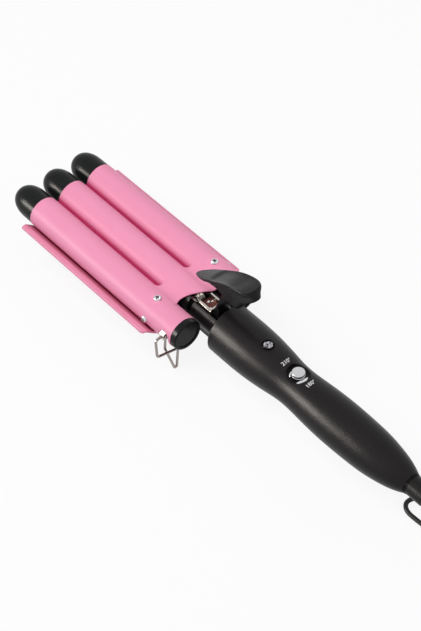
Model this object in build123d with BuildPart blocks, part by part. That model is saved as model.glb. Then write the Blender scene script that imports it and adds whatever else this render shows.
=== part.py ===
from build123d import *
import math
import os

# Three-barrel hair waver. A barrel head with a thumb lever is sprung onto a fixed
# clamp plate, and both are carried by the neck of a round handle. X runs across the
# barrels, +Y towards the barrel tips, +Z up. The origin is under the middle of the
# tool, on the surface that its wire stands reach.

os.makedirs("parts", exist_ok=True)

# ---------------------------------------------------------------- driving dimensions
# All lengths in mm. Places along the tool are measured from the rear ends of the outer
# barrels, forwards, and heights from the barrel axes, upwards.

FIT = 0.05                  # radial gap of a fixed fit
RUNNING = 0.05              # radial gap of a turning fit
CLEAR = 0.3                 # gap between surfaces that move past each other

BARREL_R = 12.5
BARREL_WALL = 1.4
BARREL_PITCH = 26.9
BARREL_LENGTH = 160.0
MIDDLE_BARREL_REAR = 12.0   # the middle barrel starts this far ahead, round the hinge

TIP_R = 12.3
TIP_STRAIGHT = 10.0
TIP_DOME = 18.0
TIP_SPIGOT = 9.0
TIP_WALL = 1.8

WEB_TOP = 1.8
WEB_BOTTOM = -1.5
BRIDGE_REAR = 15.0
BRIDGE_FRONT = 44.0
BRIDGE_VALLEY_R = 10.7      # hollow of the bridge's top, which runs on from the barrels
VALLEY_END_Y = 39.5         # round end of the open valley in front of the bridge
VALLEY_END_R = 5.5

PLUG_R = 12.2
PLUG_DEPTH = 5.0
PLUG_EDGE = 1.2
PLUG_DISH_R = 9.8
PLUG_DISH_DEPTH = 0.7
PLUG_SPIGOT = 36.0
PLUG_SPIGOT_WALL = 2.4

HEATER_R = 10.9
HEATER_REAR = 46.0
HEATER_END_GAP = 12.0       # from the heater's front to the barrel's front
HEATER_SLOT = 3.0
PTC_WIDTH = 14.0
PTC_THICKNESS = 2.6
PTC_END_GAP = 4.0

NOTCH_REAR = 2.0            # opening in each outer barrel's flank for its stand
NOTCH_FRONT = 11.5
NOTCH_TOP = 4.0
NOTCH_CORNER_R = 4.4
STAND_Y = 8.0
STAND_PIVOT_Z = -1.7
STAND_WIRE_R = 1.0
STAND_BEND_R = 2.6
STAND_TIGHT_R = 1.15
STAND_INNER_X = 36.4
STAND_OUTER_X = 45.7
STAND_BAR_Z = -18.5
STAND_CORNER_X = 26.4
STAND_CORNER_Z = -23.2
STAND_FOOT_X = 26.7
STAND_FOOT_WIDTH = 2.3
STAND_FOOT_Z = -43.9
STAND_CROSSING = 1.3        # the bar and the leg pass each other this far off the middle
EAR_WIDTH = 4.4
EAR_THICKNESS = 1.8
EAR_FACE_X = 40.5
EAR_TOP = 0.6
EAR_BOTTOM = -3.5
EAR_ROOT_X = 35.0
EAR_ROOT_WIDTH = 1.5

SCREW_HEAD_R = 2.8
SCREW_HEAD_H = 1.7
SCREW_SHANK_R = 1.4
SCREW_LENGTH = 4.6
SCREW_SOCKET = 0.22         # width of the cross over the head's radius
SMALL_HEAD_R = 1.8
SMALL_HEAD_H = 1.2
SMALL_SHANK_R = 0.9
CREST_SCREW_Y = 27.6

PIN_Y = 8.0
PIN_Z = 4.0
PIN_R = 1.5
PIN_HALF_LENGTH = 10.2
BRACKET_HALF_WIDTH = 6.0
BRACKET_SHEET = 1.2
BRACKET_FLOOR = -1.0
BRACKET_TOP = 12.0
BRACKET_NOSE_TOP = 8.5
BRACKET_REAR = -5.5
BRACKET_STEP = 10.0
BRACKET_FRONT = 38.0
BRACKET_SCREW_YS = (20.0, 32.0)
SPRING_R = 3.2
SPRING_WIRE_R = 0.45
SPRING_PITCH = 1.1
SPRING_TURNS = 5
SPRING_ARM = 12.0

PLATE_GAP = 0.8             # closed gap between barrel and plate
PLATE_SHEET = 1.4
PLATE_REAR = 20.0
PLATE_OVERHANG = 1.5        # of the plate past the barrels' front ends
PLATE_RIDGE_TURN = 50.0     # trough arc from its bottom to the ridge, in degrees
PLATE_WING_TURN = 41.0      # trough arc from its bottom to the wing, in degrees
WING_TOP_Z = -3.7
WING_FLAT = 3.62            # from the trough's slope out to the plate's edge
WING_LIP = 2.2
WING_BEND_R = 1.3
PLATE_CORNER_R = 5.0
STRAP_HALF_WIDTH = 7.0
STRAP_THICKNESS = 2.0
STRAP_REAR = -12.5
STRAP_FRONT = 62.0
PLATE_SCREW_YS = (30.0, 43.0, 56.0)
STRAP_SCREW_YS = (-9.0, -1.0)

HANDLE_Z = -1.3             # the handle's axis, below the barrels' axes
HANDLE_FRONT = -16.5
HANDLE_REAR = -198.2
HANDLE_WALL = 2.4
HANDLE_END_WALL = 3.0
COLLAR_R = 19.45
COLLAR_EDGE = 1.0
HANDLE_OUTLINE = (
    (-27.0, 19.48), (-44.0, 19.33), (-53.0, 18.88), (-62.0, 18.09), (-71.0, 17.0),
    (-80.0, 15.84), (-90.0, 15.36), (-101.0, 15.9), (-116.0, 16.89), (-134.0, 17.29),
    (-152.0, 16.9), (-166.0, 16.0), (-178.0, 14.2), (-188.5, 11.8),
)
HANDLE_END_R = 8.0
NECK_R = 11.8
NECK_BORE_R = 8.5
NECK_FRONT = 11.0
NECK_REAR = -32.5
NECK_RIB_R = 16.6
NECK_RIB_Y = -21.0
NECK_RIB = 3.0
SLOT_HALF_WIDTH = 6.8
SLOT_REAR = -15.5
SLOT_FLOOR = -8.0
PAD_HALF_WIDTH = 7.0
SLEEVE_R = 1.6
SLEEVE_X = 3.4
SLEEVE_Z = -7.1

LAMP_Y = -58.7
LAMP_R = 4.7
LAMP_RING = 1.2
LAMP_RISE = 0.2
LENS_RISE = 0.7
LAMP_DEPTH = 6.0

SWITCH_Y = -89.2
DISH_R = 8.6
DISH_WALL = 0.8
DISH_FLOOR = 10.6
TRIM_R = 7.6
TRIM_BORE_R = 5.2
TRIM_BAND = 2.6
TRIM_TOP = 11.9
KNOB_R = 4.75
KNOB_TOP = 15.4
KNOB_EDGE = 0.7
KNOB_STEM = 2.6
SWITCH_TRAVEL = 2.4
SWITCH_BLOCK = (10.0, 16.0, 6.0)

BOARD_WIDTH = 18.0
BOARD_LENGTH = 64.0
BOARD_THICKNESS = 1.6
BOARD_TOP = -4.0
BOARD_REAR = -132.0
POST_R = 2.2
BOARD_POST_YS = (-74.0, -126.0)
HANDLE_SCREW_YS = (-38.0, -150.0)
BOSS_R = 3.6
BOSS_HEAD_SEAT = 4.0        # from the outside of the handle up to the screw head's seat

SWIVEL_NECK_R = 4.6
SWIVEL_FLANGE_R = 5.8
SWIVEL_FLANGE = 2.0
SWIVEL_R = 7.4
SWIVEL_LENGTH = 14.8
SWIVEL_EDGE = 0.8
RELIEF_LENGTH = 18.0
RELIEF_BASE_R = 4.6
RELIEF_END_R = 2.7
RELIEF_RIBS = 4
RELIEF_GROOVE = 1.4
RELIEF_SPIGOT = 5.0

LEAD_R = 1.7
COIL_PITCH = 3.5            # from one turn of the coiled lead to the next
COIL_COLUMNS = 3
COIL_LAYERS = 4
COIL_R = 20.0               # mean radius of the turns
COIL_CENTRE = (48.0, -224.0)
TIE_WIDTH = 8.0
TIE_WALL = 0.8
PLUG_RELIEF_LENGTH = 12.0
PLUG_RELIEF_R = 3.6
PLUG_BODY_LENGTH = 34.0
PLUG_BODY_HEIGHT = 13.7
PLUG_BODY_REAR_WIDTH = 15.0
PLUG_BODY_WIDTH = 30.0
PLUG_BODY_ROUND = 2.5
PRONG_SPACING = 18.6
PRONG_R = 2.0
PRONG_LENGTH = 19.0

# Thumb lever: a leaf-shaped pad rising to the rear, on a keel that stands on the bracket.
LEVER_TIP = (14.0, 30.0)
LEVER_RISE = 30.5           # degrees
LEVER_LENGTH = 67.0
LEVER_PAD = 4.2
LEVER_WIDEST = 49.0
LEVER_HALF_WIDTH = 9.3
LEVER_KEEL_HALF_WIDTH = 4.6
LEVER_CHEEK_HALF_WIDTH = 7.2
LEVER_CHEEK_DRAFT = 22.0    # degrees
LEVER_FOOT_REAR = -11.8
LEVER_FOOT_BOTTOM = 3.6
LEVER_SCREW_X = 2.4
LEVER_SCREW_Z = 7.0

# ---------------------------------------------------------------- derived places
BORE_R = BARREL_R - BARREL_WALL
TIP_FRONT = BARREL_LENGTH + TIP_STRAIGHT + TIP_DOME
SWIVEL_REAR = HANDLE_REAR - CLEAR - SWIVEL_LENGTH
RELIEF_REAR = SWIVEL_REAR - RELIEF_LENGTH
ORIGIN_Y = -(TIP_FRONT + RELIEF_REAR) / 2
AXIS_Z = STAND_WIRE_R - STAND_FOOT_Z
FLOOR = -AXIS_Z
TROUGH_R = BARREL_R + PLATE_GAP + PLATE_SHEET / 2
RIDGE_R = BARREL_PITCH / 2 / math.sin(math.radians(PLATE_RIDGE_TURN)) - TROUGH_R
RIDGE_Z = -(TROUGH_R + RIDGE_R) * math.cos(math.radians(PLATE_RIDGE_TURN))
BRIDGE_BOTTOM = RIDGE_Z + RIDGE_R + PLATE_SHEET / 2 + PLATE_GAP
VALLEY_Z = math.sqrt((BARREL_R + BRIDGE_VALLEY_R) ** 2 - (BARREL_PITCH / 2) ** 2)
BRIDGE_TOP = VALLEY_Z * BARREL_R / (BARREL_R + BRIDGE_VALLEY_R)
BRIDGE_HALF_WIDTH = BARREL_PITCH / 2 * BRIDGE_VALLEY_R / (BARREL_R + BRIDGE_VALLEY_R)
HEATER_FRONT = BARREL_LENGTH - HEATER_END_GAP
PLATE_FRONT = BARREL_LENGTH + PLATE_OVERHANG
PLATE_UNDERSIDE = -(BARREL_R + PLATE_GAP + PLATE_SHEET)
WING_ANGLE = math.radians(PLATE_WING_TURN)
SLOPE_X = BARREL_PITCH + TROUGH_R * math.sin(WING_ANGLE)
SLOPE_Z = -TROUGH_R * math.cos(WING_ANGLE)
WING_Z = WING_TOP_Z - PLATE_SHEET / 2
WING_START_X = SLOPE_X + (WING_Z - SLOPE_Z) / math.tan(WING_ANGLE)
WING_HALF_WIDTH = WING_START_X + WING_FLAT
BARREL_XS = {"left": -BARREL_PITCH, "middle": 0.0, "right": BARREL_PITCH}
SIDES = {"left": -1, "right": 1}


def station(y, x=0.0, z=0.0):
    """Cross-section plane at y, seen from behind: local x is X, local y is Z."""
    return Plane(origin=(x, ORIGIN_Y + y, AXIS_Z + z), x_dir=(1, 0, 0), z_dir=(0, -1, 0))


def side(x=0.0, y=0.0, z=0.0):
    """Lengthwise plane at x: local x is Y, local y is Z."""
    return Plane(origin=(x, ORIGIN_Y + y, AXIS_Z + z), x_dir=(0, 1, 0), z_dir=(1, 0, 0))


def level(z=0.0, x=0.0, y=0.0):
    """Flat plane at height z: local x is X, local y is Y."""
    return Plane(origin=(x, ORIGIN_Y + y, AXIS_Z + z))


def long_axis(x=0.0, z=0.0, forwards=True):
    """An axis along the tool through (x, z)."""
    return Axis((x, ORIGIN_Y, AXIS_Z + z), (0, 1 if forwards else -1, 0))


def handle_radius(y):
    """Outer radius of the handle at y, read along its outline by straight lines."""
    outline = ((HANDLE_FRONT, COLLAR_R),) + HANDLE_OUTLINE + ((HANDLE_REAR, HANDLE_END_R),)
    for (y1, r1), (y2, r2) in zip(outline, outline[1:]):
        if y2 <= y <= y1:
            return r1 + (r2 - r1) * (y1 - y) / (y1 - y2)
    return HANDLE_END_R


def save(piece, name):
    """Label a finished piece and write it."""
    piece.part.label = name
    export_step(piece.part, f"parts/{name}.step")


# ---------------------------------------------------------------- barrels
def make_barrel(x, rear, outward):
    """An aluminium tube. An outer one is drilled and opened on its outward side."""
    with BuildPart() as barrel:
        with BuildSketch(station(BARREL_LENGTH, x)):
            Circle(BARREL_R)
            Circle(BORE_R, mode=Mode.SUBTRACT)
        extrude(amount=BARREL_LENGTH - rear)
        if outward:
            with BuildSketch(level(BORE_R / 2, x, CREST_SCREW_Y)):
                Circle(SCREW_SHANK_R + FIT)
            extrude(amount=BARREL_R, mode=Mode.SUBTRACT)
            with BuildSketch(side(x + outward * BORE_R / 2, CREST_SCREW_Y)):
                Circle(SCREW_SHANK_R + FIT)
            extrude(amount=outward * BARREL_R, mode=Mode.SUBTRACT)
            with BuildSketch(side(outward * (STAND_INNER_X - 3 * STAND_WIRE_R))):
                with Locations(((NOTCH_FRONT + NOTCH_REAR) / 2, NOTCH_TOP - BARREL_R)):
                    opening = Rectangle(NOTCH_FRONT - NOTCH_REAR, 2 * BARREL_R)
                fillet(opening.vertices().group_by(Axis.Y)[-1], NOTCH_CORNER_R)
            extrude(amount=outward * BARREL_R, mode=Mode.SUBTRACT)
    return barrel


for name, x in BARREL_XS.items():
    outward = int(math.copysign(1, x)) if x else 0
    barrel = make_barrel(x, 0.0 if outward else MIDDLE_BARREL_REAR, outward)
    save(barrel, f"barrel_{name}")


def make_tip(x):
    """Hollow domed cap with a spigot that plugs the barrel's mouth."""
    spigot_r = BORE_R - FIT
    fullness = 0.64
    with BuildPart() as tip:
        with BuildSketch(side(x, BARREL_LENGTH)):
            with BuildLine():
                Polyline((TIP_STRAIGHT + TIP_DOME, 0), (-TIP_SPIGOT, 0), (-TIP_SPIGOT, spigot_r),
                         (0, spigot_r), (0, TIP_R), (TIP_STRAIGHT, TIP_R))
                Bezier((TIP_STRAIGHT, TIP_R), (TIP_STRAIGHT + fullness * TIP_DOME, TIP_R),
                       (TIP_STRAIGHT + TIP_DOME, fullness * TIP_R), (TIP_STRAIGHT + TIP_DOME, 0))
            make_face()
        revolve(axis=long_axis(x))
        with BuildSketch(station(BARREL_LENGTH + TIP_STRAIGHT, x)):
            Circle(spigot_r - TIP_WALL)
        extrude(amount=TIP_STRAIGHT + TIP_SPIGOT, mode=Mode.SUBTRACT)
    return tip


for name, x in BARREL_XS.items():
    save(make_tip(x), f"tip_{name}")

with BuildPart() as barrel_webs:
    for sign in SIDES.values():
        with BuildSketch(station(BARREL_LENGTH, sign * BARREL_PITCH / 2)):
            with Locations((0, (WEB_TOP + WEB_BOTTOM) / 2)):
                Rectangle(BARREL_PITCH - BARREL_R, WEB_TOP - WEB_BOTTOM)
            with Locations((-BARREL_PITCH / 2, 0), (BARREL_PITCH / 2, 0)):
                Circle(BARREL_R, mode=Mode.SUBTRACT)
        extrude(amount=BARREL_LENGTH - BRIDGE_FRONT)
save(barrel_webs, "barrel_webs")


def make_bridge(sign):
    """Casting that fills the valley between the middle barrel and an outer one."""
    with BuildPart() as bridge:
        with BuildSketch(station(BRIDGE_FRONT, sign * BARREL_PITCH / 2)):
            with Locations((0, (BRIDGE_TOP + BRIDGE_BOTTOM) / 2)):
                Rectangle(2 * BRIDGE_HALF_WIDTH, BRIDGE_TOP - BRIDGE_BOTTOM)
            with Locations((-BARREL_PITCH / 2, 0), (BARREL_PITCH / 2, 0)):
                Circle(BARREL_R, mode=Mode.SUBTRACT)
            with Locations((0, VALLEY_Z)):
                Circle(BRIDGE_VALLEY_R, mode=Mode.SUBTRACT)
        extrude(amount=BRIDGE_FRONT - BRIDGE_REAR)
        with BuildSketch(level(WEB_TOP, sign * BARREL_PITCH / 2, VALLEY_END_Y + VALLEY_END_R)):
            Circle(VALLEY_END_R)
        extrude(amount=BARREL_R, mode=Mode.SUBTRACT)
    return bridge


for name, sign in SIDES.items():
    save(make_bridge(sign), f"bridge_{name}")


def make_rear_plug(sign):
    """Plug that closes an outer barrel's rear end, on a long spigot for its screws."""
    x = sign * BARREL_PITCH
    spigot_r = BORE_R - FIT
    with BuildPart() as plug:
        with BuildSketch(station(0, x)):
            Circle(PLUG_R)
        extrude(amount=PLUG_DEPTH)
        fillet(plug.edges().group_by(Axis.Y)[0], PLUG_EDGE)
        with BuildSketch(station(-PLUG_DEPTH, x)):
            Circle(PLUG_DISH_R)
        extrude(amount=-PLUG_DISH_DEPTH, mode=Mode.SUBTRACT)
        with BuildSketch(station(PLUG_SPIGOT, x)):
            Circle(spigot_r)
            Circle(spigot_r - PLUG_SPIGOT_WALL, mode=Mode.SUBTRACT)
        extrude(amount=PLUG_SPIGOT)
        with BuildSketch(level(0, x, CREST_SCREW_Y)):
            Circle(SCREW_SHANK_R + FIT)
        extrude(amount=BARREL_R, mode=Mode.SUBTRACT)
        with BuildSketch(side(x, CREST_SCREW_Y)):
            Circle(SCREW_SHANK_R + FIT)
        extrude(amount=sign * BARREL_R, mode=Mode.SUBTRACT)
        stand_room = NOTCH_FRONT + CLEAR - NOTCH_REAR
        with BuildSketch(side(sign * (STAND_INNER_X - 2 * STAND_WIRE_R))):
            with Locations((NOTCH_REAR + stand_room / 2, NOTCH_TOP - BARREL_R)):
                Rectangle(stand_room, 2 * BARREL_R)
        extrude(amount=sign * BARREL_R, mode=Mode.SUBTRACT)
    return plug


for name, sign in SIDES.items():
    save(make_rear_plug(sign), f"rear_plug_{name}")


def make_heat_spreader(x):
    """Two half-round aluminium bars that press the heater against the barrel."""
    with BuildPart() as spreader:
        with BuildSketch(station(HEATER_FRONT, x)):
            Circle(HEATER_R)
            Rectangle(2 * BARREL_R, HEATER_SLOT, mode=Mode.SUBTRACT)
        extrude(amount=HEATER_FRONT - HEATER_REAR)
    return spreader


def make_ptc_plate(x):
    """Ceramic heating plate between the two spreader bars."""
    with BuildPart() as plate:
        with BuildSketch(station(HEATER_FRONT - PTC_END_GAP, x)):
            Rectangle(PTC_WIDTH, PTC_THICKNESS)
        extrude(amount=HEATER_FRONT - HEATER_REAR - 2 * PTC_END_GAP)
    return plate


for name, x in BARREL_XS.items():
    save(make_heat_spreader(x), f"heat_spreader_{name}")
    save(make_ptc_plate(x), f"ptc_plate_{name}")


# ---------------------------------------------------------------- screws
def pan_screw(head_r, head_h, shank_r, length):
    """A pan-head cross screw, its head standing on the XY plane and its shank below."""
    with BuildPart() as pan:
        with BuildSketch():
            Circle(head_r)
        extrude(amount=head_h)
        with BuildSketch():
            Circle(shank_r)
        extrude(amount=-length)
        with BuildSketch(Plane.XY.offset(head_h)):
            Rectangle(head_r, head_r * SCREW_SOCKET)
            Rectangle(head_r * SCREW_SOCKET, head_r)
        extrude(amount=-head_h / 2, mode=Mode.SUBTRACT)
    return pan.part


def screw_group(seats, head_r, head_h, shank_r, length):
    """Identical screws, one on each seat plane, which faces out of the joint."""
    with BuildPart() as group:
        with Locations(*seats):
            add(pan_screw(head_r, head_h, shank_r, length))
    return group


def big_screws(seats, length):
    """Screws of the larger size."""
    return screw_group(seats, SCREW_HEAD_R, SCREW_HEAD_H, SCREW_SHANK_R, length)


def small_screws(seats, length):
    """Screws of the smaller size."""
    return screw_group(seats, SMALL_HEAD_R, SMALL_HEAD_H, SMALL_SHANK_R, length)


def facing(plane, direction):
    """The same place with its normal turned to the given direction."""
    return Plane(plane.origin, z_dir=direction)


crests = [level(BARREL_R, sign * BARREL_PITCH, CREST_SCREW_Y) for sign in SIDES.values()]
save(big_screws(crests, SCREW_LENGTH), "crest_screws")

flanks = [facing(side(sign * (BARREL_PITCH + BARREL_R), CREST_SCREW_Y), (sign, 0, 0))
          for sign in SIDES.values()]
save(big_screws(flanks, SCREW_LENGTH), "flank_screws")


# ---------------------------------------------------------------- wire stands
def make_stand_ear(sign):
    """Steel clip in the flank opening, with the hole that the stand's wire turns in."""
    inner_face = EAR_FACE_X - EAR_THICKNESS
    root_end = EAR_ROOT_X + EAR_ROOT_WIDTH
    outline = [(EAR_FACE_X, EAR_BOTTOM), (EAR_FACE_X, EAR_TOP), (root_end, NOTCH_TOP),
               (EAR_ROOT_X, NOTCH_TOP), (EAR_ROOT_X, NOTCH_TOP - EAR_ROOT_WIDTH / 2),
               (inner_face, EAR_TOP - EAR_ROOT_WIDTH / 2), (inner_face, EAR_BOTTOM)]
    with BuildPart() as ear:
        with BuildSketch(station(STAND_Y)):
            with BuildLine():
                Polyline(*[(sign * x, z) for x, z in outline], close=True)
            make_face()
        extrude(amount=EAR_WIDTH / 2, both=True)
        with BuildSketch(side(0, STAND_Y, STAND_PIVOT_Z)):
            Circle(STAND_WIRE_R + RUNNING)
        extrude(amount=sign * 2 * EAR_FACE_X, mode=Mode.SUBTRACT)
    return ear


def make_stand(sign):
    """One bent wire whose ends meet in the clip: a leg, a bar, a foot and a leg between."""
    meeting = EAR_FACE_X - EAR_THICKNESS / 2
    corners = (
        (STAND_OUTER_X, STAND_Y, STAND_PIVOT_Z, STAND_BEND_R),
        (STAND_OUTER_X, STAND_Y - STAND_CROSSING, STAND_BAR_Z, STAND_BEND_R),
        (STAND_CORNER_X, STAND_Y - STAND_CROSSING, STAND_CORNER_Z, STAND_BEND_R),
        (STAND_FOOT_X, STAND_Y, STAND_FOOT_Z, STAND_TIGHT_R),
        (STAND_FOOT_X + STAND_FOOT_WIDTH, STAND_Y, STAND_FOOT_Z, STAND_TIGHT_R),
        (STAND_INNER_X, STAND_Y + STAND_CROSSING, STAND_BAR_Z, STAND_BEND_R),
        (STAND_INNER_X, STAND_Y, STAND_PIVOT_Z, STAND_TIGHT_R),
    )
    first = (meeting + CLEAR / 2, STAND_Y, STAND_PIVOT_Z, 0)
    last = (meeting - CLEAR / 2, STAND_Y, STAND_PIVOT_Z, 0)
    points = [(sign * x, ORIGIN_Y + y, AXIS_Z + z) for x, y, z, _ in (first, *corners, last)]
    with BuildPart() as stand:
        with BuildLine():
            route = FilletPolyline(*points, radius=[corner[3] for corner in corners])
        with BuildSketch(Plane(origin=route @ 0, z_dir=route % 0)):
            Circle(STAND_WIRE_R)
        sweep(path=route)
    return stand


for name, sign in SIDES.items():
    save(make_stand_ear(sign), f"stand_ear_{name}")
    save(make_stand(sign), f"stand_{name}")


# ---------------------------------------------------------------- hinge
with BuildPart() as jaw_bracket:
    with BuildSketch(side()):
        with BuildLine():
            Polyline((BRACKET_REAR, BRACKET_FLOOR), (BRACKET_FRONT, BRACKET_FLOOR),
                     (BRACKET_FRONT, BRACKET_NOSE_TOP), (BRACKET_STEP, BRACKET_NOSE_TOP),
                     (BRACKET_STEP - 3.0, BRACKET_TOP), (BRACKET_REAR, BRACKET_TOP), close=True)
        make_face()
    extrude(amount=BRACKET_HALF_WIDTH, both=True)
    with BuildSketch(side(0, BRACKET_REAR + BRACKET_SHEET)):
        with BuildLine():
            Polyline((0, BRACKET_FLOOR + BRACKET_SHEET),
                     (BRACKET_FRONT - BRACKET_REAR, BRACKET_FLOOR + BRACKET_SHEET),
                     (BRACKET_FRONT - BRACKET_REAR, BRACKET_TOP), (0, BRACKET_TOP), close=True)
        make_face()
    extrude(amount=BRACKET_HALF_WIDTH - BRACKET_SHEET, both=True, mode=Mode.SUBTRACT)
    with BuildSketch(side(0, PIN_Y, PIN_Z)):
        Circle(PIN_R + RUNNING)
    extrude(amount=BARREL_R, both=True, mode=Mode.SUBTRACT)
    with BuildSketch(level(BRACKET_FLOOR)):
        with Locations([(0, y) for y in BRACKET_SCREW_YS]):
            Circle(SMALL_SHANK_R + FIT)
    extrude(amount=BRACKET_SHEET, mode=Mode.SUBTRACT)
    with BuildSketch(station(BRACKET_REAR + BRACKET_SHEET)):
        with Locations((-LEVER_SCREW_X, LEVER_SCREW_Z), (LEVER_SCREW_X, LEVER_SCREW_Z)):
            Circle(SMALL_SHANK_R + FIT)
    extrude(amount=BRACKET_SHEET, mode=Mode.SUBTRACT)
save(jaw_bracket, "jaw_bracket")

with BuildPart() as bracket_block:
    with BuildSketch(station(BRIDGE_FRONT)):
        Circle(BORE_R - FIT)
        with Locations((0, BRACKET_FLOOR + BARREL_R)):
            Rectangle(2 * (BRACKET_HALF_WIDTH + FIT), 2 * BARREL_R, mode=Mode.SUBTRACT)
    extrude(amount=BRIDGE_FRONT - BRIDGE_REAR)
    with BuildSketch(level(BRACKET_FLOOR)):
        with Locations([(0, y) for y in BRACKET_SCREW_YS]):
            Circle(SMALL_SHANK_R + FIT)
    extrude(amount=-SCREW_LENGTH, mode=Mode.SUBTRACT)
save(bracket_block, "bracket_block")

bracket_seats = [level(BRACKET_FLOOR + BRACKET_SHEET, 0, y) for y in BRACKET_SCREW_YS]
save(small_screws(bracket_seats, SCREW_LENGTH), "bracket_screws")

with BuildPart() as hinge_pin:
    with BuildSketch(side(0, PIN_Y, PIN_Z)):
        Circle(PIN_R)
    extrude(amount=PIN_HALF_LENGTH, both=True)
save(hinge_pin, "hinge_pin")

with BuildPart() as torsion_spring:
    half_coil = SPRING_PITCH * SPRING_TURNS / 2
    with BuildLine() as winding:
        turns = Helix(pitch=SPRING_PITCH, height=SPRING_PITCH * SPRING_TURNS, radius=SPRING_R,
                      center=(half_coil, ORIGIN_Y + PIN_Y, AXIS_Z + PIN_Z), direction=(-1, 0, 0))
        Line(turns @ 0, turns @ 0 - (turns % 0) * SPRING_ARM)
        Line(turns @ 1, turns @ 1 + (turns % 1) * SPRING_ARM)
    coil_path = winding.wires()[0]
    with BuildSketch(Plane(origin=coil_path @ 0, z_dir=coil_path % 0)):
        Circle(SPRING_WIRE_R)
    sweep(path=coil_path)
save(torsion_spring, "torsion_spring")


# ---------------------------------------------------------------- thumb lever
def lever_point(along, below=0.0):
    """A point of the lever's side view, along its pad from the tip and below its top."""
    rise = math.radians(LEVER_RISE)
    return (LEVER_TIP[0] - along * math.cos(rise) - below * math.sin(rise),
            LEVER_TIP[1] + along * math.sin(rise) - below * math.cos(rise))


with BuildPart() as thumb_lever:
    pad_origin = Vector(0, ORIGIN_Y + LEVER_TIP[0], AXIS_Z + LEVER_TIP[1])
    pad_up = Vector(0, math.sin(math.radians(LEVER_RISE)), math.cos(math.radians(LEVER_RISE)))
    with BuildSketch(Plane(origin=pad_origin, x_dir=(1, 0, 0), z_dir=pad_up)):
        with BuildLine():
            Spline((0, 0), (6.2, -18), (LEVER_HALF_WIDTH, -LEVER_WIDEST), (0, -LEVER_LENGTH),
                   tangents=((1, -0.12), (-1, 0)))
            mirror(about=Plane.YZ)
        make_face()
    extrude(amount=-LEVER_PAD)
    with BuildSketch(side()):
        with BuildLine():
            Polyline(lever_point(10, LEVER_PAD), (-10.4, 34.4), (-14.4, 30.5), (-10.0, 21.0),
                     (BRACKET_REAR - FIT, 14.0), (BRACKET_REAR - FIT, LEVER_FOOT_BOTTOM),
                     (LEVER_FOOT_REAR, LEVER_FOOT_BOTTOM), (LEVER_FOOT_REAR, 21.0), (-14.2, 26.0),
                     (-20.5, 29.0), (-31.0, 35.0), (-39.5, 44.0),
                     lever_point(LEVER_LENGTH - 5.0, LEVER_PAD),
                     lever_point(LEVER_LENGTH - 6.0, LEVER_PAD / 2), lever_point(10, LEVER_PAD / 2),
                     close=True)
        make_face()
    extrude(amount=LEVER_KEEL_HALF_WIDTH, both=True)
    with BuildSketch(side()):
        with BuildLine():
            Polyline(lever_point(20, 0.6), lever_point(23, LEVER_PAD), (-13.5, 32.5), (-20.5, 29.0),
                     (-31.0, 35.0), (-39.5, 44.0), lever_point(LEVER_LENGTH - 5.0, LEVER_PAD),
                     lever_point(LEVER_LENGTH - 6.0, 0.6), close=True)
        make_face()
    extrude(amount=LEVER_CHEEK_HALF_WIDTH, both=True, taper=LEVER_CHEEK_DRAFT)
    with BuildSketch(station(BRACKET_REAR)):
        with Locations((-LEVER_SCREW_X, LEVER_SCREW_Z), (LEVER_SCREW_X, LEVER_SCREW_Z)):
            Circle(SMALL_SHANK_R + FIT)
    extrude(amount=SCREW_LENGTH, mode=Mode.SUBTRACT)
save(thumb_lever, "thumb_lever")

lever_seats = [facing(station(BRACKET_REAR + BRACKET_SHEET, x, LEVER_SCREW_Z), (0, 1, 0))
               for x in (-LEVER_SCREW_X, LEVER_SCREW_X)]
save(small_screws(lever_seats, SCREW_LENGTH), "lever_screws")


# ---------------------------------------------------------------- clamp plate
with BuildPart() as clamp_plate:
    edge_x = WING_HALF_WIDTH - PLATE_SHEET / 2
    with BuildSketch(station(PLATE_FRONT)):
        with BuildLine() as section:
            CenterArc((0, 0), TROUGH_R, -90, PLATE_RIDGE_TURN)
            CenterArc((BARREL_PITCH / 2, RIDGE_Z), RIDGE_R, 90 + PLATE_RIDGE_TURN, -2 * PLATE_RIDGE_TURN)
            CenterArc((BARREL_PITCH, 0), TROUGH_R, -90 - PLATE_RIDGE_TURN, PLATE_RIDGE_TURN + PLATE_WING_TURN)
            FilletPolyline((SLOPE_X, SLOPE_Z), (WING_START_X, WING_Z), (edge_x, WING_Z),
                           (edge_x, WING_Z - WING_LIP + PLATE_SHEET / 2), radius=WING_BEND_R)
        trace(section.line, line_width=PLATE_SHEET)
    extrude(amount=PLATE_FRONT - PLATE_REAR)
    mirror(about=Plane.YZ)
    with BuildSketch(level(WING_TOP_Z)):
        for sign in SIDES.values():
            with Locations((sign * WING_HALF_WIDTH, PLATE_REAR)):
                corner = Rectangle(2 * PLATE_CORNER_R, 2 * PLATE_CORNER_R)
            with Locations((sign * (WING_HALF_WIDTH - PLATE_CORNER_R), PLATE_REAR + PLATE_CORNER_R)):
                Circle(PLATE_CORNER_R, mode=Mode.SUBTRACT)
    extrude(amount=PLATE_UNDERSIDE, mode=Mode.SUBTRACT)
    with BuildSketch(level(PLATE_UNDERSIDE)):
        with Locations([(0, y) for y in PLATE_SCREW_YS]):
            Circle(SCREW_SHANK_R + FIT)
    extrude(amount=2 * PLATE_SHEET, mode=Mode.SUBTRACT)
save(clamp_plate, "clamp_plate")

with BuildPart() as plate_strap:
    with BuildSketch(level(PLATE_UNDERSIDE)):
        with Locations((0, (STRAP_REAR + STRAP_FRONT) / 2)):
            strap = Rectangle(2 * STRAP_HALF_WIDTH, STRAP_FRONT - STRAP_REAR)
        fillet(strap.vertices(), STRAP_HALF_WIDTH / 2)
        with Locations([(0, y) for y in PLATE_SCREW_YS + STRAP_SCREW_YS]):
            Circle(SCREW_SHANK_R + FIT, mode=Mode.SUBTRACT)
    extrude(amount=-STRAP_THICKNESS)
save(plate_strap, "plate_strap")


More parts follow.
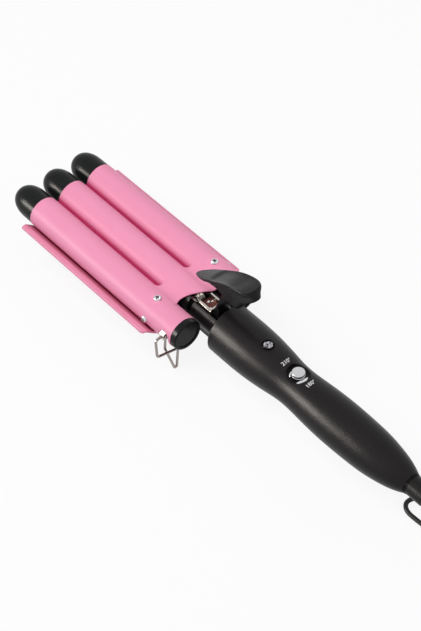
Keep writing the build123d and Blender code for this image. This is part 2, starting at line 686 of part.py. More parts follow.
strap_seat = PLATE_UNDERSIDE - STRAP_THICKNESS
plate_seats = [facing(level(strap_seat, 0, y), (0, 0, -1)) for y in PLATE_SCREW_YS]
save(big_screws(plate_seats, STRAP_THICKNESS + PLATE_SHEET), "plate_screws")
neck_seats = [facing(level(strap_seat, 0, y), (0, 0, -1)) for y in STRAP_SCREW_YS]
save(big_screws(neck_seats, SCREW_LENGTH), "strap_screws")

# ---------------------------------------------------------------- neck
with BuildPart() as neck:
    with BuildSketch(station(NECK_FRONT, 0, HANDLE_Z)):
        Circle(NECK_R)
    extrude(amount=NECK_FRONT - NECK_REAR)
    with BuildSketch(station(NECK_RIB_Y, 0, HANDLE_Z)):
        Circle(NECK_RIB_R)
    extrude(amount=NECK_RIB)
    pad_depth = NECK_FRONT - STRAP_REAR
    with BuildSketch(level(PLATE_UNDERSIDE)):
        with Locations((0, STRAP_REAR + pad_depth / 2)):
            Rectangle(2 * PAD_HALF_WIDTH, pad_depth)
    extrude(amount=HANDLE_Z - NECK_BORE_R - PLATE_UNDERSIDE)
    with BuildSketch(station(NECK_FRONT, 0, HANDLE_Z)):
        Circle(NECK_BORE_R)
    extrude(amount=NECK_FRONT - NECK_REAR, mode=Mode.SUBTRACT)
    with BuildSketch(side()):
        with Locations(((NECK_FRONT + SLOT_REAR) / 2, SLOT_FLOOR + BARREL_R)):
            Rectangle(NECK_FRONT - SLOT_REAR, 2 * BARREL_R)
    extrude(amount=SLOT_HALF_WIDTH, both=True, mode=Mode.SUBTRACT)
    with BuildSketch(side(0, PIN_Y, PIN_Z)):
        Circle(PIN_R + FIT)
    extrude(amount=2 * NECK_R, both=True, mode=Mode.SUBTRACT)
    with BuildSketch(level(PLATE_UNDERSIDE)):
        with Locations([(0, y) for y in STRAP_SCREW_YS]):
            Circle(SCREW_SHANK_R + FIT)
    extrude(amount=SCREW_LENGTH, mode=Mode.SUBTRACT)
save(neck, "neck")

with BuildPart() as lead_sleeve:
    with BuildSketch(station(NECK_FRONT - CLEAR, SLEEVE_X, SLEEVE_Z)):
        Circle(SLEEVE_R)
    extrude(amount=NECK_FRONT - CLEAR - NECK_REAR)
save(lead_sleeve, "lead_sleeve")


# ---------------------------------------------------------------- handle
def handle_profile(inset, front, rear):
    """Half section of the handle on its parting plane, inset from the outside."""
    first = (COLLAR_R - inset, front - COLLAR_EDGE)
    last = (handle_radius(rear) - inset, rear)
    between = [(r - inset, y) for y, r in HANDLE_OUTLINE if rear < y < front - COLLAR_EDGE]
    with BuildSketch(level(HANDLE_Z)) as profile:
        with BuildLine():
            Polyline((0, front), (COLLAR_R - inset - COLLAR_EDGE, front), first)
            Spline(first, *between, last)
            Polyline(last, (0, rear), (0, front))
        make_face()
    return profile.sketch


def make_handle_shell(upper):
    """Half of the moulded handle, with its end walls, bosses and openings."""
    up = 1 if upper else -1
    cavity_front = HANDLE_FRONT - HANDLE_END_WALL
    cavity_rear = HANDLE_REAR + HANDLE_END_WALL
    axis = long_axis(0, HANDLE_Z, forwards=not upper)
    outside = handle_profile(0.0, HANDLE_FRONT, HANDLE_REAR)
    cavity = handle_profile(HANDLE_WALL, cavity_front, cavity_rear)
    screw_spots = [(0, y) for y in HANDLE_SCREW_YS]
    with BuildPart() as shell:
        revolve(outside, axis=axis, revolution_arc=180)
        revolve(cavity, axis=axis, revolution_arc=180, mode=Mode.SUBTRACT)
        for y in HANDLE_SCREW_YS:
            with BuildSketch(level(HANDLE_Z, 0, y)):
                Circle(BOSS_R)
            extrude(amount=up * (handle_radius(y) - HANDLE_WALL / 2))
        with BuildSketch(station(HANDLE_FRONT, 0, HANDLE_Z)):
            Circle(NECK_R + FIT)
        extrude(amount=HANDLE_FRONT - NECK_REAR, mode=Mode.SUBTRACT)
        with BuildSketch(station(NECK_RIB_Y + FIT, 0, HANDLE_Z)):
            Circle(NECK_RIB_R + FIT)
        extrude(amount=NECK_RIB + 2 * FIT, mode=Mode.SUBTRACT)
        with BuildSketch(station(cavity_rear, 0, HANDLE_Z)):
            Circle(SWIVEL_NECK_R + CLEAR)
        extrude(amount=HANDLE_END_WALL, mode=Mode.SUBTRACT)
        if upper:
            with BuildSketch(level(HANDLE_Z)):
                with Locations(*screw_spots):
                    Circle(SCREW_SHANK_R + FIT)
            extrude(amount=2 * SCREW_LENGTH, mode=Mode.SUBTRACT)
            with BuildSketch(level(DISH_FLOOR - DISH_WALL, 0, SWITCH_Y)):
                Circle(DISH_R + FIT)
            extrude(amount=COLLAR_R, mode=Mode.SUBTRACT)
            with BuildSketch(level(HANDLE_Z + handle_radius(LAMP_Y) - LAMP_DEPTH, 0, LAMP_Y)):
                Circle(LAMP_R + FIT)
            extrude(amount=COLLAR_R, mode=Mode.SUBTRACT)
        else:
            for y in BOARD_POST_YS:
                with BuildSketch(level(BOARD_TOP - BOARD_THICKNESS, 0, y)):
                    Circle(POST_R)
                post_height = handle_radius(y) - HANDLE_WALL / 2 + BOARD_TOP - BOARD_THICKNESS - HANDLE_Z
                extrude(amount=-post_height)
            for y in HANDLE_SCREW_YS:
                seat = screw_seat_z(y)
                with BuildSketch(level(seat, 0, y)):
                    Circle(SCREW_SHANK_R + FIT)
                extrude(amount=COLLAR_R, mode=Mode.SUBTRACT)
                with BuildSketch(level(seat, 0, y)):
                    Circle(SCREW_HEAD_R + CLEAR)
                extrude(amount=-2 * BOSS_HEAD_SEAT, mode=Mode.SUBTRACT)
    return shell


def screw_seat_z(y):
    """Height of a handle screw's seat, sunk from the underside of the handle."""
    return HANDLE_Z - handle_radius(y) + BOSS_HEAD_SEAT


save(make_handle_shell(upper=True), "handle_upper_shell")
save(make_handle_shell(upper=False), "handle_lower_shell")

for name, y in zip(("front", "rear"), HANDLE_SCREW_YS):
    handle_seat = facing(level(screw_seat_z(y), 0, y), (0, 0, -1))
    save(big_screws([handle_seat], HANDLE_Z - screw_seat_z(y) + SCREW_LENGTH), f"handle_screw_{name}")

# ---------------------------------------------------------------- lamp and switch
lamp_top = HANDLE_Z + handle_radius(LAMP_Y)

with BuildPart() as lamp_ring:
    with BuildSketch(level(lamp_top + LAMP_RISE)):
        with Locations((0, LAMP_Y)):
            Circle(LAMP_R)
            Circle(LAMP_R - LAMP_RING, mode=Mode.SUBTRACT)
    extrude(amount=-LAMP_DEPTH)
save(lamp_ring, "lamp_ring")

with BuildPart() as lamp_lens:
    lens_r = LAMP_R - LAMP_RING - FIT
    with BuildSketch(level(lamp_top - LAMP_DEPTH)):
        with Locations((0, LAMP_Y)):
            Circle(lens_r)
    extrude(amount=LAMP_DEPTH + LENS_RISE)
    fillet(lamp_lens.edges().group_by(Axis.Z)[-1], LENS_RISE)
save(lamp_lens, "lamp_lens")

with BuildPart() as switch_dish:
    dish_rim = HANDLE_Z + math.sqrt(handle_radius(SWITCH_Y) ** 2 - DISH_R ** 2)
    with BuildSketch(level(DISH_FLOOR - DISH_WALL, 0, SWITCH_Y)):
        Circle(DISH_R)
    extrude(amount=dish_rim + CLEAR - DISH_FLOOR + DISH_WALL)
    with BuildSketch(level(DISH_FLOOR, 0, SWITCH_Y)):
        Circle(DISH_R - DISH_WALL)
    extrude(amount=BARREL_R, mode=Mode.SUBTRACT)
    with BuildSketch(level(DISH_FLOOR - DISH_WALL, 0, SWITCH_Y)):
        Rectangle(KNOB_STEM + 2 * CLEAR, KNOB_STEM + 2 * SWITCH_TRAVEL + 2 * CLEAR)
    extrude(amount=DISH_WALL, mode=Mode.SUBTRACT)
save(switch_dish, "switch_dish")

with BuildPart() as switch_trim:
    with BuildSketch(level(DISH_FLOOR, 0, SWITCH_Y)):
        Circle(TRIM_R)
        Circle(TRIM_BORE_R, mode=Mode.SUBTRACT)
        Rectangle(2 * DISH_R, 2 * TRIM_BAND, mode=Mode.SUBTRACT)
    extrude(amount=TRIM_TOP - DISH_FLOOR)
save(switch_trim, "switch_trim")

with BuildPart() as switch_knob:
    with BuildSketch(level(TRIM_TOP + CLEAR, 0, SWITCH_Y)):
        Circle(KNOB_R)
    extrude(amount=KNOB_TOP - TRIM_TOP - CLEAR)
    fillet(switch_knob.edges().group_by(Axis.Z)[-1], KNOB_EDGE)
    with BuildSketch(level(TRIM_TOP + CLEAR, 0, SWITCH_Y)):
        Rectangle(KNOB_STEM, KNOB_STEM)
    extrude(amount=-(TRIM_TOP - DISH_FLOOR + DISH_WALL + SWITCH_BLOCK[2] / 2))
save(switch_knob, "switch_knob")

with BuildPart() as switch_block:
    with BuildSketch(level(DISH_FLOOR - DISH_WALL, 0, SWITCH_Y)):
        Rectangle(SWITCH_BLOCK[0], SWITCH_BLOCK[1])
    extrude(amount=-SWITCH_BLOCK[2])
    with BuildSketch(level(DISH_FLOOR - DISH_WALL, 0, SWITCH_Y)):
        Rectangle(KNOB_STEM + 2 * CLEAR, KNOB_STEM + 2 * SWITCH_TRAVEL + 2 * CLEAR)
    extrude(amount=-SWITCH_BLOCK[2] * 0.75, mode=Mode.SUBTRACT)
save(switch_block, "switch_block")

with BuildPart() as control_board:
    with BuildSketch(level(BOARD_TOP)):
        with Locations((0, BOARD_REAR + BOARD_LENGTH / 2)):
            Rectangle(BOARD_WIDTH, BOARD_LENGTH)
    extrude(amount=-BOARD_THICKNESS)
save(control_board, "control_board")


# ---------------------------------------------------------------- swivel and strain relief
with BuildPart() as swivel_sleeve:
    inner_front = HANDLE_REAR + HANDLE_END_WALL + CLEAR + SWIVEL_FLANGE
    with BuildSketch(station(inner_front, 0, HANDLE_Z)):
        Circle(SWIVEL_FLANGE_R)
    extrude(amount=SWIVEL_FLANGE)
    with BuildSketch(station(inner_front, 0, HANDLE_Z)):
        Circle(SWIVEL_NECK_R)
    extrude(amount=inner_front - HANDLE_REAR + CLEAR)
    with BuildSketch(station(HANDLE_REAR - CLEAR, 0, HANDLE_Z)):
        Circle(SWIVEL_R)
    extrude(amount=SWIVEL_LENGTH)
    fillet(swivel_sleeve.edges().filter_by(GeomType.CIRCLE).group_by(Axis.Y)[0], SWIVEL_EDGE)
    with BuildSketch(station(SWIVEL_REAR, 0, HANDLE_Z)):
        Circle(RELIEF_BASE_R - RELIEF_GROOVE)
    extrude(amount=-RELIEF_SPIGOT, mode=Mode.SUBTRACT)
save(swivel_sleeve, "swivel_sleeve")

with BuildPart() as strain_relief:
    with BuildSketch(side(0, SWIVEL_REAR, HANDLE_Z)):
        with BuildLine():
            Polyline((0, 0), (0, RELIEF_BASE_R), (-RELIEF_LENGTH, RELIEF_END_R),
                     (-RELIEF_LENGTH, 0), close=True)
        make_face()
    revolve(axis=long_axis(0, HANDLE_Z))
    groove_pitch = RELIEF_LENGTH / (RELIEF_RIBS + 1)
    for index in range(RELIEF_RIBS):
        groove_y = SWIVEL_REAR - groove_pitch * (index + 0.8)
        with BuildSketch(station(groove_y, 0, HANDLE_Z)):
            Circle(SWIVEL_R)
            Circle(RELIEF_BASE_R - RELIEF_GROOVE - index * RELIEF_GROOVE / 4, mode=Mode.SUBTRACT)
        extrude(amount=groove_pitch / 3, mode=Mode.SUBTRACT)
    with BuildSketch(station(SWIVEL_REAR, 0, HANDLE_Z)):
        Circle(RELIEF_BASE_R - RELIEF_GROOVE - FIT)
    extrude(amount=-RELIEF_SPIGOT)
save(strain_relief, "strain_relief")

# ---------------------------------------------------------------- lead, coil and plug
LEAD_Z = FLOOR + LEAD_R + 0.1
LEAD_POINTS = (
    (0.0, RELIEF_REAR, HANDLE_Z),
    (0.0, RELIEF_REAR - 9.0, HANDLE_Z),
    (1.0, RELIEF_REAR - 18.5, HANDLE_Z - 5.5),
    (2.0, RELIEF_REAR - 24.0, HANDLE_Z - 17.0),
    (3.6, RELIEF_REAR - 22.0, HANDLE_Z - 29.0),
    (5.2, RELIEF_REAR - 13.0, HANDLE_Z - 39.0),
    (6.2, RELIEF_REAR + 1.0, LEAD_Z),
    (6.6, RELIEF_REAR + 15.0, LEAD_Z),
    (5.6, RELIEF_REAR + 29.0, LEAD_Z),
    (5.6, RELIEF_REAR + 38.3, LEAD_Z),
    (10.2, RELIEF_REAR + 43.8, LEAD_Z),
    (17.0, RELIEF_REAR + 43.1, LEAD_Z),
    (27.0, RELIEF_REAR + 35.8, LEAD_Z),
    (COIL_CENTRE[0], COIL_CENTRE[1] + COIL_R + COIL_PITCH, LEAD_Z),
)
TAIL_STEP = 9.0
PLUG_Z = FLOOR + PLUG_BODY_HEIGHT / 2
TAIL_HEIGHTS = (FLOOR + LEAD_R + 0.1 + 3 * COIL_PITCH, FLOOR + 11.8, PLUG_Z, PLUG_Z)


def tail_place(along):
    """Point beside the coil on the line that the lead leaves it along."""
    reach = (COIL_R + COIL_PITCH) * math.sqrt(0.5)
    step = along * math.sqrt(0.5)
    return (COIL_CENTRE[0] + reach - step, COIL_CENTRE[1] - reach - step)


TAIL_POINTS = tuple((*tail_place(index * TAIL_STEP), z) for index, z in enumerate(TAIL_HEIGHTS))


def tube_radii(points):
    """Bend radius at each inner corner: 0.45 of the shorter run, over the half turn."""
    radii = []
    for before, here, after in zip(points, points[1:], points[2:]):
        first = Vector(*here) - Vector(*before)
        second = Vector(*after) - Vector(*here)
        half_turn = math.radians(first.get_angle(second) / 2)
        radii.append(0.45 * min(first.length, second.length) / math.tan(half_turn))
    return radii


def make_tube(points, label):
    """A round tube along straight runs and tangent arcs."""
    placed = [(x, ORIGIN_Y + y, AXIS_Z + z) for x, y, z in points]
    radii = tube_radii(placed)
    print(label, "bend radii", [round(r, 1) for r in radii])
    with BuildPart() as tube:
        with BuildLine() as route:
            FilletPolyline(*placed, radius=radii)
        path = route.wires()[0]
        with BuildSketch(Plane(origin=path @ 0, z_dir=path % 0)):
            Circle(LEAD_R)
        sweep(path=path)
    print(label, "length", round(path.length, 1), "volume ratio",
          round(tube.part.volume / (math.pi * LEAD_R ** 2 * path.length), 4))
    return tube


save(make_tube(LEAD_POINTS, "mains_lead"), "mains_lead")
save(make_tube(TAIL_POINTS, "mains_lead_tail"), "mains_lead_tail")

COIL_WIDTH = (COIL_COLUMNS - 1) * COIL_PITCH + 2 * LEAD_R
COIL_HEIGHT = (COIL_LAYERS - 1) * COIL_PITCH + 2 * LEAD_R
COIL_BOTTOM = LEAD_Z - LEAD_R

with BuildPart() as lead_coil:
    with BuildSketch(level(COIL_BOTTOM, *COIL_CENTRE)):
        Circle(COIL_R + COIL_WIDTH / 2)
        Circle(COIL_R - COIL_WIDTH / 2, mode=Mode.SUBTRACT)
    extrude(amount=COIL_HEIGHT)
save(lead_coil, "lead_coil")

with BuildPart() as coil_tie:
    with BuildSketch(side(COIL_CENTRE[0] - COIL_R, COIL_CENTRE[1], COIL_BOTTOM)):
        with Locations((0, COIL_HEIGHT / 2)):
            Rectangle(TIE_WIDTH, COIL_HEIGHT + 2 * TIE_WALL)
    extrude(amount=COIL_WIDTH / 2 + TIE_WALL, both=True)
    with BuildSketch(level(COIL_BOTTOM - CLEAR, *COIL_CENTRE)):
        Circle(COIL_R + COIL_WIDTH / 2 + FIT)
        Circle(COIL_R - COIL_WIDTH / 2 - FIT, mode=Mode.SUBTRACT)
    extrude(amount=COIL_HEIGHT + CLEAR + FIT, mode=Mode.SUBTRACT)
    with BuildSketch(level(FLOOR, *COIL_CENTRE)):
        Circle(2 * COIL_R)
    extrude(amount=-COIL_HEIGHT, mode=Mode.SUBTRACT)
save(coil_tie, "coil_tie")

with BuildPart() as mains_plug:
    tail_x, tail_y = tail_place(3 * TAIL_STEP)
    entry = Plane(origin=(tail_x, ORIGIN_Y + tail_y, AXIS_Z + PLUG_Z), x_dir=(1, -1, 0), z_dir=(-1, -1, 0))
    with BuildSketch(entry):
        Circle(LEAD_R + 0.8)
    with BuildSketch(entry.offset(PLUG_RELIEF_LENGTH)):
        Circle(PLUG_RELIEF_R)
    loft()
    with BuildSketch(entry.offset(PLUG_RELIEF_LENGTH)):
        RectangleRounded(PLUG_BODY_REAR_WIDTH, PLUG_BODY_HEIGHT, PLUG_BODY_ROUND)
    with BuildSketch(entry.offset(PLUG_RELIEF_LENGTH + PLUG_BODY_LENGTH / 2)):
        RectangleRounded(PLUG_BODY_WIDTH, PLUG_BODY_HEIGHT, PLUG_BODY_ROUND)
    loft()
    with BuildSketch(entry.offset(PLUG_RELIEF_LENGTH + PLUG_BODY_LENGTH / 2)):
        RectangleRounded(PLUG_BODY_WIDTH, PLUG_BODY_HEIGHT, PLUG_BODY_ROUND)
    extrude(amount=PLUG_BODY_LENGTH / 2)
    with BuildSketch(entry.offset(PLUG_RELIEF_LENGTH + PLUG_BODY_LENGTH)):
        with Locations((-PRONG_SPACING / 2, 0), (PRONG_SPACING / 2, 0)):
            Circle(PRONG_R)
    extrude(amount=PRONG_LENGTH)
save(mains_plug, "mains_plug")
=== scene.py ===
"""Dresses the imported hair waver: camera, studio, mains lead, finishes and fine pieces."""

import logging
import math
from dataclasses import dataclass, replace
from enum import Enum
from typing import Any, Callable, Iterable, Sequence

import bmesh
import bpy
from mathutils import Matrix, Vector, noise
from mathutils.bvhtree import BVHTree


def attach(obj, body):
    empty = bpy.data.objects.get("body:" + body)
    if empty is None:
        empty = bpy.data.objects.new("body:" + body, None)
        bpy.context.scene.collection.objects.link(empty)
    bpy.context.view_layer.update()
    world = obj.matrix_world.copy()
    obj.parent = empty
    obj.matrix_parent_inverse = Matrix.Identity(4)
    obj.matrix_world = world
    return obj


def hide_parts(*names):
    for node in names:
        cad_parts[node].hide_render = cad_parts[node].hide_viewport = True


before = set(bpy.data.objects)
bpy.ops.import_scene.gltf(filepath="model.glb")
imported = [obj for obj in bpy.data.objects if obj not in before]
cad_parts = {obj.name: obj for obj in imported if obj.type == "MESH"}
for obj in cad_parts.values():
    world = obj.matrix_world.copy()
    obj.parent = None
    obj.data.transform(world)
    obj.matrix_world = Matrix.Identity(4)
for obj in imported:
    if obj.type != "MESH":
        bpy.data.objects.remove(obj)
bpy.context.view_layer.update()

logging.basicConfig(level=logging.INFO, format="%(message)s")
LOG = logging.getLogger("hair_waver")

Point = tuple[float, float, float]
Table = tuple[tuple[float, float], ...]

# Meshes are drawn in the tool's own millimetres: x across the barrels, y from the rear
# ends of the outer barrels towards the tips, z from the barrel axes upwards.
MM = 0.001
ORIGIN_Y = 21.65
AXIS_HEIGHT = 44.9
TOOL_FRAME = Matrix.Translation((0.0, ORIGIN_Y * MM, AXIS_HEIGHT * MM)) @ Matrix.Scale(MM, 4)

BARREL_R = 12.5
BARREL_PITCH = 26.9
HANDLE_Z = -1.3
FLOOR_Z = -44.9

RIGHT = Vector((1, 0, 0))
AHEAD = Vector((0, 1, 0))
UP = Vector((0, 0, 1))


class Body(Enum):
    """The rigid bodies that pieces ride on."""

    HANDLE = "handle"
    HEAD = "barrel_head"
    SWITCH = "switch_slider"
    LEAD = "lead_swivel"


class Slot(Enum):
    """The material slots of the record that the fine pieces use."""

    PINK = "pink_enamel"
    PLASTIC = "black_plastic"
    CHROME = "chrome_steel"
    STEEL = "steel"
    LAMP = "lamp_resin"
    SWITCH = "switch_nylon"
    RUBBER = "lead_rubber"


# ----- materials


def srgb(hex_colour: str) -> tuple[float, float, float, float]:
    """Turn an sRGB hex colour to linear.

    Args:
        hex_colour: six hex digits, with or without a leading #.

    Returns:
        The linear red, green, blue and alpha.
    """
    digits = hex_colour.lstrip("#")
    channels = [int(digits[i : i + 2], 16) / 255 for i in (0, 2, 4)]
    linear = [c / 12.92 if c <= 0.04045 else ((c + 0.055) / 1.055) ** 2.4 for c in channels]
    return (*linear, 1.0)


def add_node(
    tree: bpy.types.NodeTree, kind: str, settings: dict[str, Any] | None = None, **inputs: Any
) -> bpy.types.Node:
    """Add a shader node with its settings, values and links.

    Args:
        tree: the node tree it joins.
        kind: the node's type name.
        settings: attributes of the node.
        inputs: socket name, with _ for a space, to a value or to an output socket. The
            letter i and a number picks the socket of that index.

    Returns:
        The new node.
    """
    node = tree.nodes.new(kind)
    for key, value in (settings or {}).items():
        setattr(node, key, value)
    for key, value in inputs.items():
        by_index = key[0] == "i" and key[1:].isdigit()
        socket = node.inputs[int(key[1:]) if by_index else key.replace("_", " ")]
        if isinstance(value, bpy.types.NodeSocket):
            tree.links.new(value, socket)
        else:
            socket.default_value = value
    return node


def new_material(name: str) -> tuple[bpy.types.Material, bpy.types.NodeTree]:
    """Make an empty node material.

    Args:
        name: the material's name.

    Returns:
        The material and its empty tree.
    """
    material = bpy.data.materials.new(name)
    material.use_nodes = True
    material.node_tree.nodes.clear()
    return material, material.node_tree


@dataclass(frozen=True)
class PaintedShade:
    """A zone of painted shade, where a finish is drawn darker, in tool millimetres.

    It reaches full depth where |x| is under x_full, z under z_full and y under y_full, and
    fades out by x_none, z_none and y_none. It lies only on faces that look up by more than
    facing, the vertical share of their normal.
    """

    colour: str
    x_full: float
    x_none: float
    z_full: float
    z_none: float
    y_full: float = 900.0
    y_none: float = 901.0
    facing: float = -0.35
    facing_fade: float = 0.15

    def mask(self, tree: bpy.types.NodeTree, place: bpy.types.NodeSocket) -> bpy.types.NodeSocket:
        """Give the zone's depth at a place on the object.

        Args:
            tree: the material's tree.
            place: the place, in metres.

        Returns:
            The socket of the depth, from 0 to 1.
        """
        normal = add_node(tree, "ShaderNodeTexCoord").outputs["Normal"]
        upward = add_node(tree, "ShaderNodeSeparateXYZ", Vector=normal).outputs["Z"]
        axes = add_node(tree, "ShaderNodeSeparateXYZ", Vector=place)
        aside = add_node(tree, "ShaderNodeMath", {"operation": "ABSOLUTE"}, i0=axes.outputs["X"]).outputs[0]
        shares = [
            add_node(
                tree, "ShaderNodeMapRange", {"interpolation_type": "SMOOTHSTEP"}, Value=value,
                From_Min=(full + shift) * MM, From_Max=(none + shift) * MM, To_Min=1.0, To_Max=0.0,
            ).outputs[0]
            for value, full, none, shift in (
                (aside, self.x_full, self.x_none, 0.0),
                (axes.outputs["Y"], self.y_full, self.y_none, ORIGIN_Y),
                (axes.outputs["Z"], self.z_full, self.z_none, AXIS_HEIGHT),
            )
        ]
        low, high = self.facing - self.facing_fade, self.facing + self.facing_fade
        depth = add_node(tree, "ShaderNodeMapRange", Value=upward, From_Min=low, From_Max=high).outputs[0]
        for share in shares:
            depth = add_node(tree, "ShaderNodeMath", {"operation": "MULTIPLY"}, i0=depth, i1=share).outputs[0]
        return depth


@dataclass(frozen=True)
class Finish:
    """One surface: its colours, gloss, the grain that its making leaves and any zones of painted shade."""

    name: str
    base: str
    shade: str
    roughness: float
    metallic: float = 0.0
    ior: float = 1.5
    grain_mm: float = 0.6
    bump: float = 0.05
    spread: float = 0.06
    specular: float = 0.5
    stretch: Point = (1.0, 1.0, 1.0)
    painted_shades: tuple[PaintedShade, ...] = ()
    grain_share: float = 0.35
    contrast: float = 1.0
    # The drift's patches are about 36 mm.
    drift_scale: float = 28.0

    def material(self) -> bpy.types.Material:
        """Give the material of this finish, made on first use."""
        return bpy.data.materials.get(self.name) or self.build()

    def build(self) -> bpy.types.Material:
        """Make the material from a fine grain, a slow drift of tone, zones of painted shade and a soft bump.

        Returns:
            The new material.
        """
        material, tree = new_material(self.name)
        place = add_node(tree, "ShaderNodeTexCoord").outputs["Object"]
        aligned = add_node(tree, "ShaderNodeMapping", Vector=place, Scale=self.stretch).outputs[0]
        fineness = 1 / (self.grain_mm * MM)
        grain = add_node(
            tree, "ShaderNodeTexNoise", Vector=aligned, Scale=fineness, Detail=3.0, Roughness=0.6
        ).outputs["Fac"]
        drift = add_node(
            tree, "ShaderNodeTexNoise", Vector=place, Scale=self.drift_scale, Detail=2.0
        ).outputs["Fac"]
        mixed = add_node(
            tree, "ShaderNodeMix", {"data_type": "FLOAT"}, Factor=self.grain_share, i2=drift, i3=grain
        ).outputs[0]
        low, high = 0.5 - 0.5 / self.contrast, 0.5 + 0.5 / self.contrast
        mixed = add_node(tree, "ShaderNodeMapRange", Value=mixed, From_Min=low, From_Max=high).outputs[0]
        colour = srgb(self.shade)
        # Each zone of painted shade is laid over the grained colour.
        for shade_zone in (None, *self.painted_shades):
            depth, layer = (shade_zone.mask(tree, place), shade_zone.colour) if shade_zone else (mixed, self.base)
            colour = add_node(
                tree, "ShaderNodeMix", {"data_type": "RGBA"}, i0=depth, i6=colour, i7=srgb(layer)
            ).outputs[2]
        smooth, rough = max(self.roughness - self.spread, 0.02), self.roughness + self.spread
        gloss = add_node(
            tree, "ShaderNodeMapRange", Value=grain, From_Min=0.3, From_Max=0.7, To_Min=smooth, To_Max=rough
        ).outputs[0]
        relief = add_node(
            tree, "ShaderNodeBump", Height=grain, Strength=self.bump, Distance=self.grain_mm * MM / 2
        ).outputs[0]
        shader = add_node(
            tree, "ShaderNodeBsdfPrincipled", Base_Color=colour, Roughness=gloss, Metallic=self.metallic,
            IOR=self.ior, Specular_IOR_Level=self.specular, Normal=relief,
        )
        add_node(tree, "ShaderNodeOutputMaterial", Surface=shader.outputs[0])
        return material


# Painted shade: the enamel is drawn deeper pink at the foot of the valleys between the barrels
# and under them on the plate, and near black on the outer barrels' rear flanks in the notch.
VALLEY_PAINTED_SHADE = PaintedShade("#BE3A6C", 22.0, 27.0, 2.2, 6.8)
NOTCH_PAINTED_SHADE = PaintedShade("#34101E", 22.0, 25.0, 4.0, 6.5, 13.0, 18.0)
PLATE_PAINTED_SHADE = PaintedShade("#9C2448", 37.0, 41.5, -3.0, 6.0, facing=0.2)
# Stoved enamel on aluminium: even pink with a soft satin lustre and a faint orange peel,
# with the painted valley shade.
PINK_ENAMEL = Finish(
    "pink_stoved_enamel", "#F09CBC", "#EA92B2", 0.42, grain_mm=1.6, spread=0.03, specular=0.1,
    painted_shades=(VALLEY_PAINTED_SHADE,),
)
# The outer barrels' enamel also has the painted shade in the notch.
BARREL_ENAMEL = replace(PINK_ENAMEL, name="pink_barrel_enamel", painted_shades=(VALLEY_PAINTED_SHADE, NOTCH_PAINTED_SHADE))
# The same enamel on the bent plate, a little deeper in colour, with painted shade under the barrels.
PLATE_ENAMEL = replace(
    PINK_ENAMEL, name="pink_plate_enamel", base="#E892AF", shade="#DD87A5", painted_shades=(PLATE_PAINTED_SHADE,)
)
# Heat-resistant moulded nylon: near black with a spark-eroded texture. Its real pits are
# about 0.3 mm, drawn at 0.8 mm so that they show.
BLACK_NYLON = Finish(
    "black_moulded_nylon", "#1C191A", "#141212", 0.34, grain_mm=0.8, bump=0.3, spread=0.07, specular=0.15
)
# Soft-sheen tips and plugs, moulded in a polished tool.
BLACK_TIP = Finish(
    "black_polished_moulding", "#1C1E1D", "#141615", 0.28, grain_mm=0.7, bump=0.04, specular=0.1
)
# Rubber sheath of the lead and its strain relief.
BLACK_RUBBER = Finish(
    "black_rubber_sheath", "#181717", "#111111", 0.5, grain_mm=0.5, bump=0.12, specular=0.3
)
# Moulded PVC of the mains plug.
PLUG_VINYL = Finish("black_moulded_vinyl", "#1B1B1C", "#141414", 0.42, bump=0.08, specular=0.2)
# Nickel-chrome plate on wire and screws.
CHROME = Finish("chrome_plate", "#D9D8DA", "#C9C8CB", 0.10, 1.0, grain_mm=2.0, bump=0.01, spread=0.03)
# Painted shade at the bottom of a cross recess, where light is trapped: dull and drawn dark.
RECESS_PAINTED_SHADE = Finish("painted_recess_shade", "#5A5356", "#3E393C", 0.45, 0.6, grain_mm=0.5, bump=0.1)
# Zinc-plated strip steel with rolling lines along the strip.
ZINC_STEEL = Finish(
    "zinc_plated_strip", "#D3CEC8", "#BAB3AB", 0.24, 1.0, grain_mm=0.5, stretch=(1.0, 0.1, 1.0)
)
# Bare aluminium with fine lines along the way it was extruded.
ALUMINIUM = Finish(
    "extruded_aluminium", "#C4C4C6", "#B3B3B6", 0.35, 1.0, grain_mm=0.5, stretch=(1.0, 0.1, 1.0)
)
# Sintered ceramic wrapped in insulating film.
CERAMIC = Finish("film_wrapped_ceramic", "#C9C4B4", "#B9B39F", 0.5, grain_mm=0.8)
# Glass-fibre laminate under green solder mask.
LAMINATE = Finish("solder_masked_laminate", "#1F5A33", "#184A29", 0.35, grain_mm=0.4, bump=0.1)
# Natural nylon of the switch's housing.
NATURAL_NYLON = Finish("natural_nylon", "#D8D4C8", "#CBC7BA", 0.45)
# Resin of the unlit lamp: each facet of its moulded cut shows paler or darker grey.
LAMP_RESIN = Finish(
    "grey_lamp_resin", "#CFCDD3", "#26242A", 0.3, grain_mm=1.25, bump=0.4, specular=0.2,
    grain_share=1.0, contrast=4.5,
)
# Nylon of the lever, moulded with a finer skin than the handle.
LEVER_NYLON = Finish(
    "black_lever_nylon", "#242427", "#1A1A1C", 0.28, grain_mm=0.5, bump=0.08, spread=0.05, specular=0.2
)
# The lever's flanks and web: left matt from the tool, and drawn darker than the leaf's polished top as
# painted shade.
LEVER_SHADED_SIDE = Finish("painted_shade_lever_flank", "#131214", "#0D0C0E", 0.42, grain_mm=0.5, bump=0.12, specular=0.16)
# High-gloss ABS of the lamp's bezel and the swivel's flange.
GLOSS_BLACK = Finish(
    "black_gloss_abs", "#070707", "#040404", 0.2, grain_mm=1.2, bump=0.03, spread=0.03, specular=0.08
)
# Satin chrome on the knob's moulded cap.
SATIN_CHROME = Finish("satin_chrome_plate", "#CFCED0", "#BFBEC1", 0.26, 1.0, grain_mm=0.5, bump=0.04)
# Oil-hardened spring wire.
SPRING_STEEL = Finish("spring_wire_steel", "#A8A39E", "#87817C", 0.28, 1.0, grain_mm=0.5)
# Nickel-plated spring wire of the stands: greyer than chrome.
STAND_WIRE = Finish(
    "nickel_plated_wire", "#A79F9B", "#8B827E", 0.16, 1.0, grain_mm=1.0, bump=0.02, spread=0.04
)
